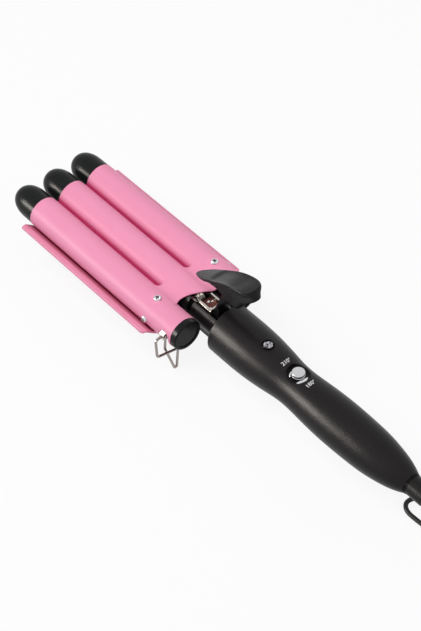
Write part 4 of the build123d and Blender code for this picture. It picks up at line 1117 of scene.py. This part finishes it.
@dataclass
class HingeDetail:
    """The torsion spring ahead of the hinge pin and the riveted tongue in the bracket, in mm."""

    spring_y: float = 11.0
    spring_z: float = 8.6
    spring_r: float = 3.0
    wire_r: float = 0.42
    pitch: float = 1.2
    turns: float = 4.5
    first_angle: float = 100.0
    middle_x: float = -1.5
    points_per_turn: int = 16
    # The arm lies along the bracket; the short end runs forwards under the skin.
    arm: tuple[Point, ...] = (
        (-6.55, -6.6, 12.0), (-6.55, -3.0, 12.0), (-6.55, 4.5, 12.0), (-5.65, 8.2, 12.1),
    )
    end_steps: tuple[Point, ...] = ((0.5, 3.0, -1.0), (0.5, 7.0, -2.0))
    tongue_size: Point = (9.2, 11.8, 0.9)
    tongue_y: float = 1.7
    tongue_top: float = 8.3
    tongue_edge_r: float = 0.25
    # Each rivet's x, y and radius; its dome rises by a share of the radius.
    rivets: tuple[Point, ...] = ((0.6, 4.3, 1.15), (3.3, 2.9, 0.95), (-2.6, -1.6, 0.8))
    rivet_rise: float = 0.6
    rivet_sunk: float = 0.3

    def wire_line(self) -> list[Point]:
        """Trace the wire.

        Returns:
            Its points: the arm beside the bracket, the turns and the short end.
        """
        start_x = self.middle_x - self.turns * self.pitch / 2
        coil = []
        for step in range(int(self.turns * self.points_per_turn) + 1):
            turn = step / self.points_per_turn
            angle = math.radians(self.first_angle) - math.tau * turn
            y = self.spring_y + self.spring_r * math.cos(angle)
            coil.append((start_x + self.pitch * turn, y, self.spring_z + self.spring_r * math.sin(angle)))
        last = Vector(coil[-1])
        return [*self.arm, *coil, *(tuple(last + Vector(step)) for step in self.end_steps)]

    def build(self) -> None:
        """Make the spring, and the tongue with its rivets."""
        line, nodes = self.wire_line(), ["torsion_spring"]
        round_wire(
            "torsion_spring_wire", line, self.wire_r, SPRING_STEEL, Body.HEAD, Slot.STEEL, nodes, (3, 3)
        )

        bm = bmesh.new()
        plate = bmesh.ops.create_cube(bm, size=1.0)["verts"]
        bmesh.ops.scale(bm, verts=plate, vec=self.tongue_size)
        middle = (0.0, self.tongue_y, self.tongue_top - self.tongue_size[2] / 2)
        bmesh.ops.translate(bm, verts=plate, vec=middle)
        round_edges(bm, bm.edges, self.tongue_edge_r, 2)
        close_shell(bm)
        # The tongue's brown is a painted reflection of the pink barrels in the bracket's steel.
        finished(bm, "hinge_tongue", REFLECTION_BROWN_STEEL, Body.HEAD, Slot.STEEL, crease=30.0)

        bm = bmesh.new()
        for x, y, radius in self.rivets:
            rise = self.rivet_rise * radius
            dome = rounded((0.0, 0.0), radius, 0.0, steps=6, rise=rise)[:-1]
            outline = [(0.0, -self.rivet_sunk), (radius, -self.rivet_sunk), *dome, (0.0, rise)]
            turned(bm, outline, Vector((x, y, self.tongue_top)), steps=24)
        close_shell(bm)
        finished(bm, "tongue_rivets", CHROME, Body.HEAD, Slot.CHROME)
        LOG.info("hinge: spring, tongue and rivets")


# ----- handle


class ShellSurface:
    """Finds the outside of the handle's shells, so that what is on them lies on them."""

    def __init__(self, *nodes: str) -> None:
        """Read the shells' meshes.

        Args:
            nodes: the names of the CAD nodes.
        """
        corners: list[Vector] = []
        faces: list[tuple[int, ...]] = []
        for node in nodes:
            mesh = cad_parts[node].data
            base = len(corners)
            corners.extend(vert.co.copy() for vert in mesh.vertices)
            faces.extend(tuple(base + index for index in face.vertices) for face in mesh.polygons)
        self.tree = BVHTree.FromPolygons(corners, faces)
        self.back = TOOL_FRAME.inverted()

    def hit(self, start: Sequence[float], direction: Sequence[float]) -> Vector | None:
        """Find where a ray meets the shells.

        Args:
            start: where it starts, in tool millimetres.
            direction: the way it goes.

        Returns:
            The point in tool millimetres, or None.
        """
        place = self.tree.ray_cast(TOOL_FRAME @ Vector(start), Vector(direction))[0]
        return None if place is None else self.back @ place


@dataclass
class HandlePrint:
    """The two temperature marks printed beside the switch, in mm."""

    marks: tuple[tuple[str, float, float], ...] = (("210°", 0.3, -76.9), ("180°", -0.5, -102.0))
    size: float = 4.3
    weight: float = 0.03
    film: float = 0.03
    lift: float = 0.05
    longest_edge: float = 0.7
    above: float = 40.0

    def flat_text(self, words: str) -> bmesh.types.BMesh:
        """Draw words flat, as a mesh round the origin.

        Args:
            words: what they say.

        Returns:
            The mesh, in millimetres.
        """
        data = bpy.data.curves.new("mark", "FONT")
        data.body = words
        data.size = self.size
        data.offset = self.weight
        data.extrude = self.film
        data.resolution_u = 4
        data.align_x = "CENTER"
        data.align_y = "CENTER"
        text = bpy.data.objects.new("mark", data)
        bpy.context.collection.objects.link(text)
        depsgraph = bpy.context.evaluated_depsgraph_get()
        flat = bpy.data.meshes.new_from_object(text.evaluated_get(depsgraph))
        bm = bmesh.new()
        bm.from_mesh(flat)
        bpy.data.objects.remove(text)
        bpy.data.curves.remove(data)
        bpy.data.meshes.remove(flat)
        return bm

    def build(self, shells: ShellSurface) -> None:
        """Make both marks.

        Args:
            shells: the shells that they lie on.
        """
        for number, (words, x, y) in enumerate(self.marks, start=1):
            bm = self.flat_text(words)
            long_edges = [edge for edge in bm.edges if edge.calc_length() > self.longest_edge]
            bmesh.ops.subdivide_edges(bm, edges=long_edges, cuts=2)
            for vert in bm.verts:
                spot = (vert.co.x + x, vert.co.y + y)
                top = shells.hit((*spot, self.above), -UP)
                vert.co = (*spot, (top.z if top else 0.0) + self.lift + vert.co.z)
            name = f"temperature_mark_{number}"
            finished(bm, name, WHITE_PRINT, Body.HANDLE, Slot.SWITCH, crease=35.0)
        LOG.info("temperature marks: %d", len(self.marks))


@dataclass
class PartingLine:
    """The dark hairline where the handle's two shells meet, in mm."""

    front: float = -17.6
    rear: float = -197.4
    half_height: float = 0.17
    thickness: float = 0.06
    proud: float = 0.03
    probe_height: float = 0.4
    outside: float = 60.0
    rows: int = 120

    def line_point(self, side: int, shells: ShellSurface, u: float, v: float) -> Point:
        """Give a point of the line on one side.

        Args:
            side: -1 for left, 1 for right.
            shells: the shells that it lies on.
            u: its share of the height.
            v: its share of the length.

        Returns:
            The point.
        """
        y = self.front + (self.rear - self.front) * v
        z = HANDLE_Z + self.half_height * (2 * u - 1)
        probe_z = HANDLE_Z + self.probe_height * (1 if u > 0.5 else -1)
        found = shells.hit((side * self.outside, y, probe_z), -side * RIGHT)
        return (found.x if found else 0.0) + side * self.proud, y, z

    def build(self, shells: ShellSurface) -> None:
        """Make the line on both sides.

        Args:
            shells: the shells that it lies on.
        """
        bm = bmesh.new()
        for side in (-1, 1):
            shaped_grid(bm, (1, self.rows), lambda u, v: self.line_point(side, shells, u, v))
        bmesh.ops.recalc_face_normals(bm, faces=bm.faces)
        bmesh.ops.solidify(bm, geom=bm.faces, thickness=self.thickness)
        bmesh.ops.recalc_face_normals(bm, faces=bm.faces)
        finished(bm, "handle_parting_line", SHADOW_GAP, Body.HANDLE, Slot.PLASTIC, crease=35.0)
        LOG.info("parting line")


@dataclass
class SignalLamp:
    """The lamp in its black bezel, in mm."""

    y: float = -58.7
    probe_x: float = 6.0
    above: float = 40.0
    usual_crown: float = 17.0
    outer_r: float = 4.7
    inner_r: float = 3.45
    edge_r: float = 0.35
    edge_z: float = 0.1
    bezel_sunk: float = 3.0
    lens_sunk: float = 3.2
    lens_gap: float = 0.12
    lens_edge_z: float = -0.25
    lens_rise: float = 0.55
    cut: float = 0.4
    cell: float = 0.95

    def build(self, shells: ShellSurface) -> None:
        """Make the bezel and the cut lens.

        Args:
            shells: the shells that it is set in.
        """
        top = shells.hit((self.probe_x, self.y, self.above), -UP)
        crown = HANDLE_Z + math.hypot(top.z - HANDLE_Z, self.probe_x) if top else self.usual_crown
        centre = Vector((0, self.y, crown))
        bm = bmesh.new()
        outline = [
            (self.outer_r, -self.bezel_sunk),
            *rounded((self.outer_r - self.edge_r, self.edge_z), self.edge_r, 0.0),
            *rounded((self.inner_r + self.edge_r, self.edge_z), self.edge_r, 90.0),
            (self.inner_r, -self.bezel_sunk),
        ]
        turned(bm, [*outline, outline[0]], centre, steps=48)
        close_shell(bm)
        finished(bm, "lamp_bezel", GLOSS_BLACK, Body.HANDLE, Slot.PLASTIC, ["lamp_ring"], crease=35.0)

        bm = bmesh.new()
        lens_r = self.inner_r - self.lens_gap
        dome = rounded((0.0, self.lens_edge_z), lens_r, 0.0, steps=9, rise=self.lens_rise)
        foot = [(0.0, -self.lens_sunk), (lens_r, -self.lens_sunk)]
        turned(bm, [*foot, *dome[:-1], (0.0, dome[-1][1])], centre, steps=30)
        close_shell(bm)
        for vert in bm.verts:
            if vert.co.z > crown - 0.2:
                vert.co.z += self.cut * (noise.cell(vert.co / self.cell) - 0.5)
        finished(bm, "lamp_cut_lens", LAMP_RESIN, Body.HANDLE, Slot.LAMP, ["lamp_lens"], crease=12.0)
        LOG.info("signal lamp")


@dataclass
class SlideSwitch:
    """The slide switch: chromed crescents in a black dish and a chromed knob, in mm."""

    y: float = -89.2
    outer_r: float = 7.9
    facings: tuple[float, float] = (118.0, 262.0)
    half_turn: float = 44.0
    end_taper: float = 0.7
    # Section of a crescent: it slopes outwards from its crest at the inner edge.
    section: Table = (
        (7.9, 10.6), (7.9, 10.9), (7.6, 11.15), (6.1, 11.63), (4.9, 11.93), (4.45, 11.77),
        (4.3, 11.35), (4.3, 10.6),
    )
    # The knob's outline from its dished top over a rounded edge, a groove and a skirt to
    # its stem.
    knob_top: Table = ((0.0, 15.23), (3.55, 15.25), (3.85, 15.35))
    knob_edge: tuple[float, float] = (4.2, 14.85)
    knob_edge_r: float = 0.5
    knob_side: Table = (
        (4.7, 13.3), (4.52, 13.15), (4.52, 12.9), (4.82, 12.75), (4.82, 12.3), (1.25, 12.3),
        (1.25, 7.0), (0.0, 7.0),
    )

    def build_crescents(self) -> None:
        """Make the two bright crescents of the dish, thinner towards their ends."""
        centre = Vector((0, self.y, 0))
        sweep = math.radians(2 * self.half_turn)
        bm = bmesh.new()
        for facing in self.facings:
            start = math.radians(facing - self.half_turn)
            across = Vector((math.cos(start), math.sin(start), 0))
            verts = [bm.verts.new(centre + across * radius + UP * z) for radius, z in self.section]
            edges = [bm.edges.new(pair) for pair in zip(verts, [*verts[1:], verts[0]])]
            bmesh.ops.spin(bm, geom=verts + edges, cent=centre, axis=UP, angle=sweep, steps=32)
        bmesh.ops.holes_fill(bm, edges=open_edges(bm), sides=0)
        close_shell(bm)
        for vert in bm.verts:
            arm = vert.co - centre
            turn = math.degrees(math.atan2(arm.y, arm.x)) % 360
            share = min(abs(turn - facing) for facing in self.facings) / self.half_turn
            reach = math.hypot(arm.x, arm.y)
            inward = (self.outer_r - reach) * self.end_taper * min(1.0, share) ** 2
            vert.co.x += arm.x / reach * inward
            vert.co.y += arm.y / reach * inward
        finished(bm, "switch_crescents", CHROME, Body.HANDLE, Slot.CHROME, ["switch_trim"])

    def build_knob(self) -> None:
        """Make the knob: a dished cap with a groove and a skirt, on its stem."""
        edge = rounded(self.knob_edge, self.knob_edge_r, 90.0, turn=-90.0)
        bm = bmesh.new()
        turned(bm, [*self.knob_top, *edge, *self.knob_side], Vector((0, self.y, 0)))
        close_shell(bm)
        nodes = ["switch_knob"]
        finished(bm, "switch_knob_cap", SATIN_CHROME, Body.SWITCH, Slot.CHROME, nodes, crease=35.0)

    def build(self) -> None:
        """Make the crescents and the knob."""
        self.build_crescents()
        self.build_knob()
        LOG.info("slide switch")


@dataclass
class SwivelCollar:
    """The thin flange that turns against the handle's rear end, in mm."""

    front: float = -199.0
    thickness: float = 0.9
    inner_r: float = 7.3
    outer_r: float = 7.85

    def build(self) -> None:
        """Make the flange ring, round at its outer edge."""
        half = self.thickness / 2
        arc = rounded((self.outer_r - half, 0.0), half, -90.0, steps=6, turn=180.0)
        outline = [(self.inner_r, -half), *arc, (self.inner_r, half)]
        bm = bmesh.new()
        turned(bm, [*outline, outline[0]], Vector((0, self.front - half, HANDLE_Z)), AHEAD)
        close_shell(bm)
        finished(bm, "swivel_flange", GLOSS_BLACK, Body.LEAD, Slot.PLASTIC, crease=35.0)
        LOG.info("swivel flange")


# ----- mains plug


@dataclass
class MainsPlug:
    """The moulded two-pin plug on the lead's far end, in mm."""

    entry: Point
    relief: float = 12.0
    body: float = 34.0
    half_widths: Table = (
        (0.0, 2.45), (10.0, 3.4), (12.5, 6.6), (17.0, 9.4), (23.0, 12.4), (29.0, 14.4), (36.0, 14.9),
        (44.6, 14.9), (46.0, 14.2),
    )
    half_heights: Table = (
        (0.0, 2.45), (10.0, 3.4), (12.5, 4.9), (17.0, 5.9), (23.0, 6.5), (29.0, 6.7), (44.6, 6.7),
        (46.0, 6.1),
    )
    # From a round section at the lead to a squarish one at the pins.
    squareness: Table = ((0.0, 2.0), (10.5, 2.0), (14.0, 3.0), (29.0, 4.2), (46.0, 4.6))
    body_faces: tuple[int, int] = (48, 92)
    rib_pitch: float = 2.6
    rib_depth: float = 0.45
    plain_front: float = 1.5
    plain_rear: float = 1.2
    pin_spacing: float = 18.6
    pin_r: float = 2.0
    pin_length: float = 19.0
    bare_inset: float = 0.12
    sleeve: float = 10.0
    sleeve_edge: float = 0.2

    def to_tool(self, along: float, aside: float, up: float = 0.0) -> Vector:
        """Turn a place on the plug into the tool's frame.

        Args:
            along: distance from its entry towards the pins.
            aside: distance from its middle.
            up: height over its middle.

        Returns:
            The point.
        """
        across = Vector((1, -1, 0)).normalized()
        return Vector(self.entry) + self.heading() * along + across * aside + UP * up

    def heading(self) -> Vector:
        """Give the way that the pins point."""
        return Vector((-1, -1, 0)).normalized()

    def body_point(self, u: float, v: float) -> Vector:
        """Give a point of the moulding: a ribbed relief that widens into the plug.

        Args:
            u: its share of the way round.
            v: its share of the length, from the entry.

        Returns:
            The point.
        """
        along = (self.relief + self.body) * v
        power = 2 / eased(along, self.squareness)
        angle = math.tau * u
        c, s = math.cos(angle), math.sin(angle)
        rib = 0.0
        if self.plain_front < along < self.relief - self.plain_rear:
            rib = self.rib_depth * (0.5 - 0.5 * math.cos(math.tau * along / self.rib_pitch))
        aside = (eased(along, self.half_widths) - rib) * math.copysign(abs(c) ** power, c)
        return self.to_tool(
            along, aside, (eased(along, self.half_heights) - rib) * math.copysign(abs(s) ** power, s)
        )

    def build(self) -> list[bpy.types.Object]:
        """Make the moulding with its pin sleeves, and the pins.

        Returns:
            The two pieces.
        """
        bm = bmesh.new()
        shaped_grid(bm, self.body_faces, self.body_point)
        bmesh.ops.remove_doubles(bm, verts=bm.verts, dist=1e-4)
        bmesh.ops.holes_fill(bm, edges=open_edges(bm), sides=0)
        face = self.relief + self.body
        rooted = self.sleeve + 1.0
        outline = [(0.0, 0.0), (self.pin_r, 0.0), (self.pin_r, rooted - self.sleeve_edge)]
        outline += [(self.pin_r - self.sleeve_edge, rooted), (0.0, rooted)]
        for side in (-1, 1):
            foot = self.to_tool(face - 1.0, side * self.pin_spacing / 2)
            turned(bm, outline, foot, self.heading(), steps=32)
        close_shell(bm)
        moulding = finished(bm, "plug_moulding", PLUG_VINYL, Body.LEAD, Slot.PLASTIC, ["mains_plug"])

        bm = bmesh.new()
        bare = self.pin_length - self.sleeve + 0.5
        r = self.pin_r - self.bare_inset
        nose = rounded((0.0, bare - r), r, 0.0, steps=6)[:-1]
        for side in (-1, 1):
            foot = self.to_tool(face + self.sleeve - 0.5, side * self.pin_spacing / 2)
            turned(bm, [(0.0, 0.0), (r, 0.0), *nose, (0.0, bare)], foot, self.heading(), steps=32)
        close_shell(bm)
        pins = finished(bm, "plug_pins", NICKEL_BRASS, Body.LEAD, Slot.CHROME)
        LOG.info("mains plug")
        return [moulding, pins]


# ----- mains lead


@dataclass
class MainsLead:
    """The free lead: its run on the surface, its coil and its way to the plug, in mm."""

    radius: float = 1.7
    surface_z: float = FLOOR_Z + 1.8
    # From the strain relief down through a narrow loop and along the surface to the coil.
    run: tuple[Point, ...] = (
        (0.0, -231.3, HANDLE_Z), (0.0, -240.3, HANDLE_Z), (1.0, -249.8, -6.8), (2.0, -255.3, -18.3),
        (3.6, -253.3, -30.3), (5.2, -244.3, -40.3), (6.2, -230.3, -43.1), (6.6, -216.3, -43.1),
        (5.6, -202.3, -43.1), (5.6, -193.0, -43.1), (10.2, -187.5, -43.1), (17.0, -188.2, -43.1),
        (27.0, -195.5, -43.1),
    )
    coil_x: float = 48.0
    coil_y: float = -224.0
    coil_r: float = 20.0
    pitch: float = 3.5
    columns: int = 3
    layers: int = 4
    points_per_turn: int = 24
    # The last turn goes on by this many points, to where the tail leaves it.
    extra_points: int = 9
    climb_from: float = 0.92
    tail_step: float = 9.0
    # Heights of the tail's points, the last two in the plug's middle.
    tail_heights: Point = (FLOOR_Z + 11.8, FLOOR_Z + 6.85, FLOOR_Z + 6.85)

    def coil_points(self) -> list[Point]:
        """Wind the coil, layer on layer, outwards and inwards by turns.

        Returns:
            Its points, which end outside at the top.
        """
        turned_points = []
        turn_step = math.tau / self.points_per_turn
        steps = self.columns * self.points_per_turn
        angle = math.radians(90)
        for layer in range(self.layers):
            last = layer == self.layers - 1
            for step in range(steps + 1 if last else steps):
                share = step / steps
                across = share if layer % 2 else 1 - share
                spread = (self.columns - 1) * self.pitch * (across - 0.5)
                climb = 0.0 if last else held((share - self.climb_from) / (1 - self.climb_from))
                height = self.surface_z + (layer + climb) * self.pitch
                turned_points.append((self.coil_r + spread, angle, height))
                angle -= turn_step
        radius, angle, height = turned_points[-1]
        for step in range(1, self.extra_points + 1):
            turned_points.append((radius, angle - step * turn_step, height))
        return [
            (self.coil_x + r * math.cos(a), self.coil_y + r * math.sin(a), z) for r, a, z in turned_points
        ]

    def tail_points(self) -> list[Point]:
        """Give the points from the coil down to the plug's entry.

        Returns:
            The points, the last one at the entry.
        """
        reach = (self.coil_r + self.pitch) * math.sqrt(0.5)
        points = []
        for index, z in enumerate(self.tail_heights, start=1):
            step = index * self.tail_step * math.sqrt(0.5)
            points.append((self.coil_x + reach - step, self.coil_y - reach - step, z))
        return points

    def build(self) -> None:
        tail = self.tail_points()
        plug = MainsPlug(tail[-1]).build()
        route = [*self.run, *self.coil_points(), *tail]
        nodes = ["mains_lead", "mains_lead_tail", "lead_coil"]
        lead = round_wire(
            "mains_lead_line", route, self.radius, BLACK_RUBBER, Body.LEAD, Slot.RUBBER, nodes, (5, 6)
        )
        tuple(TOOL_FRAME @ Vector(self.run[0]))
        LOG.info("mains lead: %d points", len(route))


def main() -> None:
    """Build the studio, the lead, the finishes and the fine pieces, in that order."""
    studio = Studio()
    studio.place_camera()
    MainsLead().build()
    studio.lay_floor()
    studio.hang_lamps()
    dress_nodes()
    for assembly in (BarrelHead(), PanScrews(), ThumbLever(), HingeDetail()):
        assembly.build()
    shells = ShellSurface("handle_upper_shell", "handle_lower_shell")
    for fitting in (HandlePrint(), PartingLine(), SignalLamp()):
        fitting.build(shells)
    SlideSwitch().build()
    SwivelCollar().build()


if __name__ == "__main__":
    main()
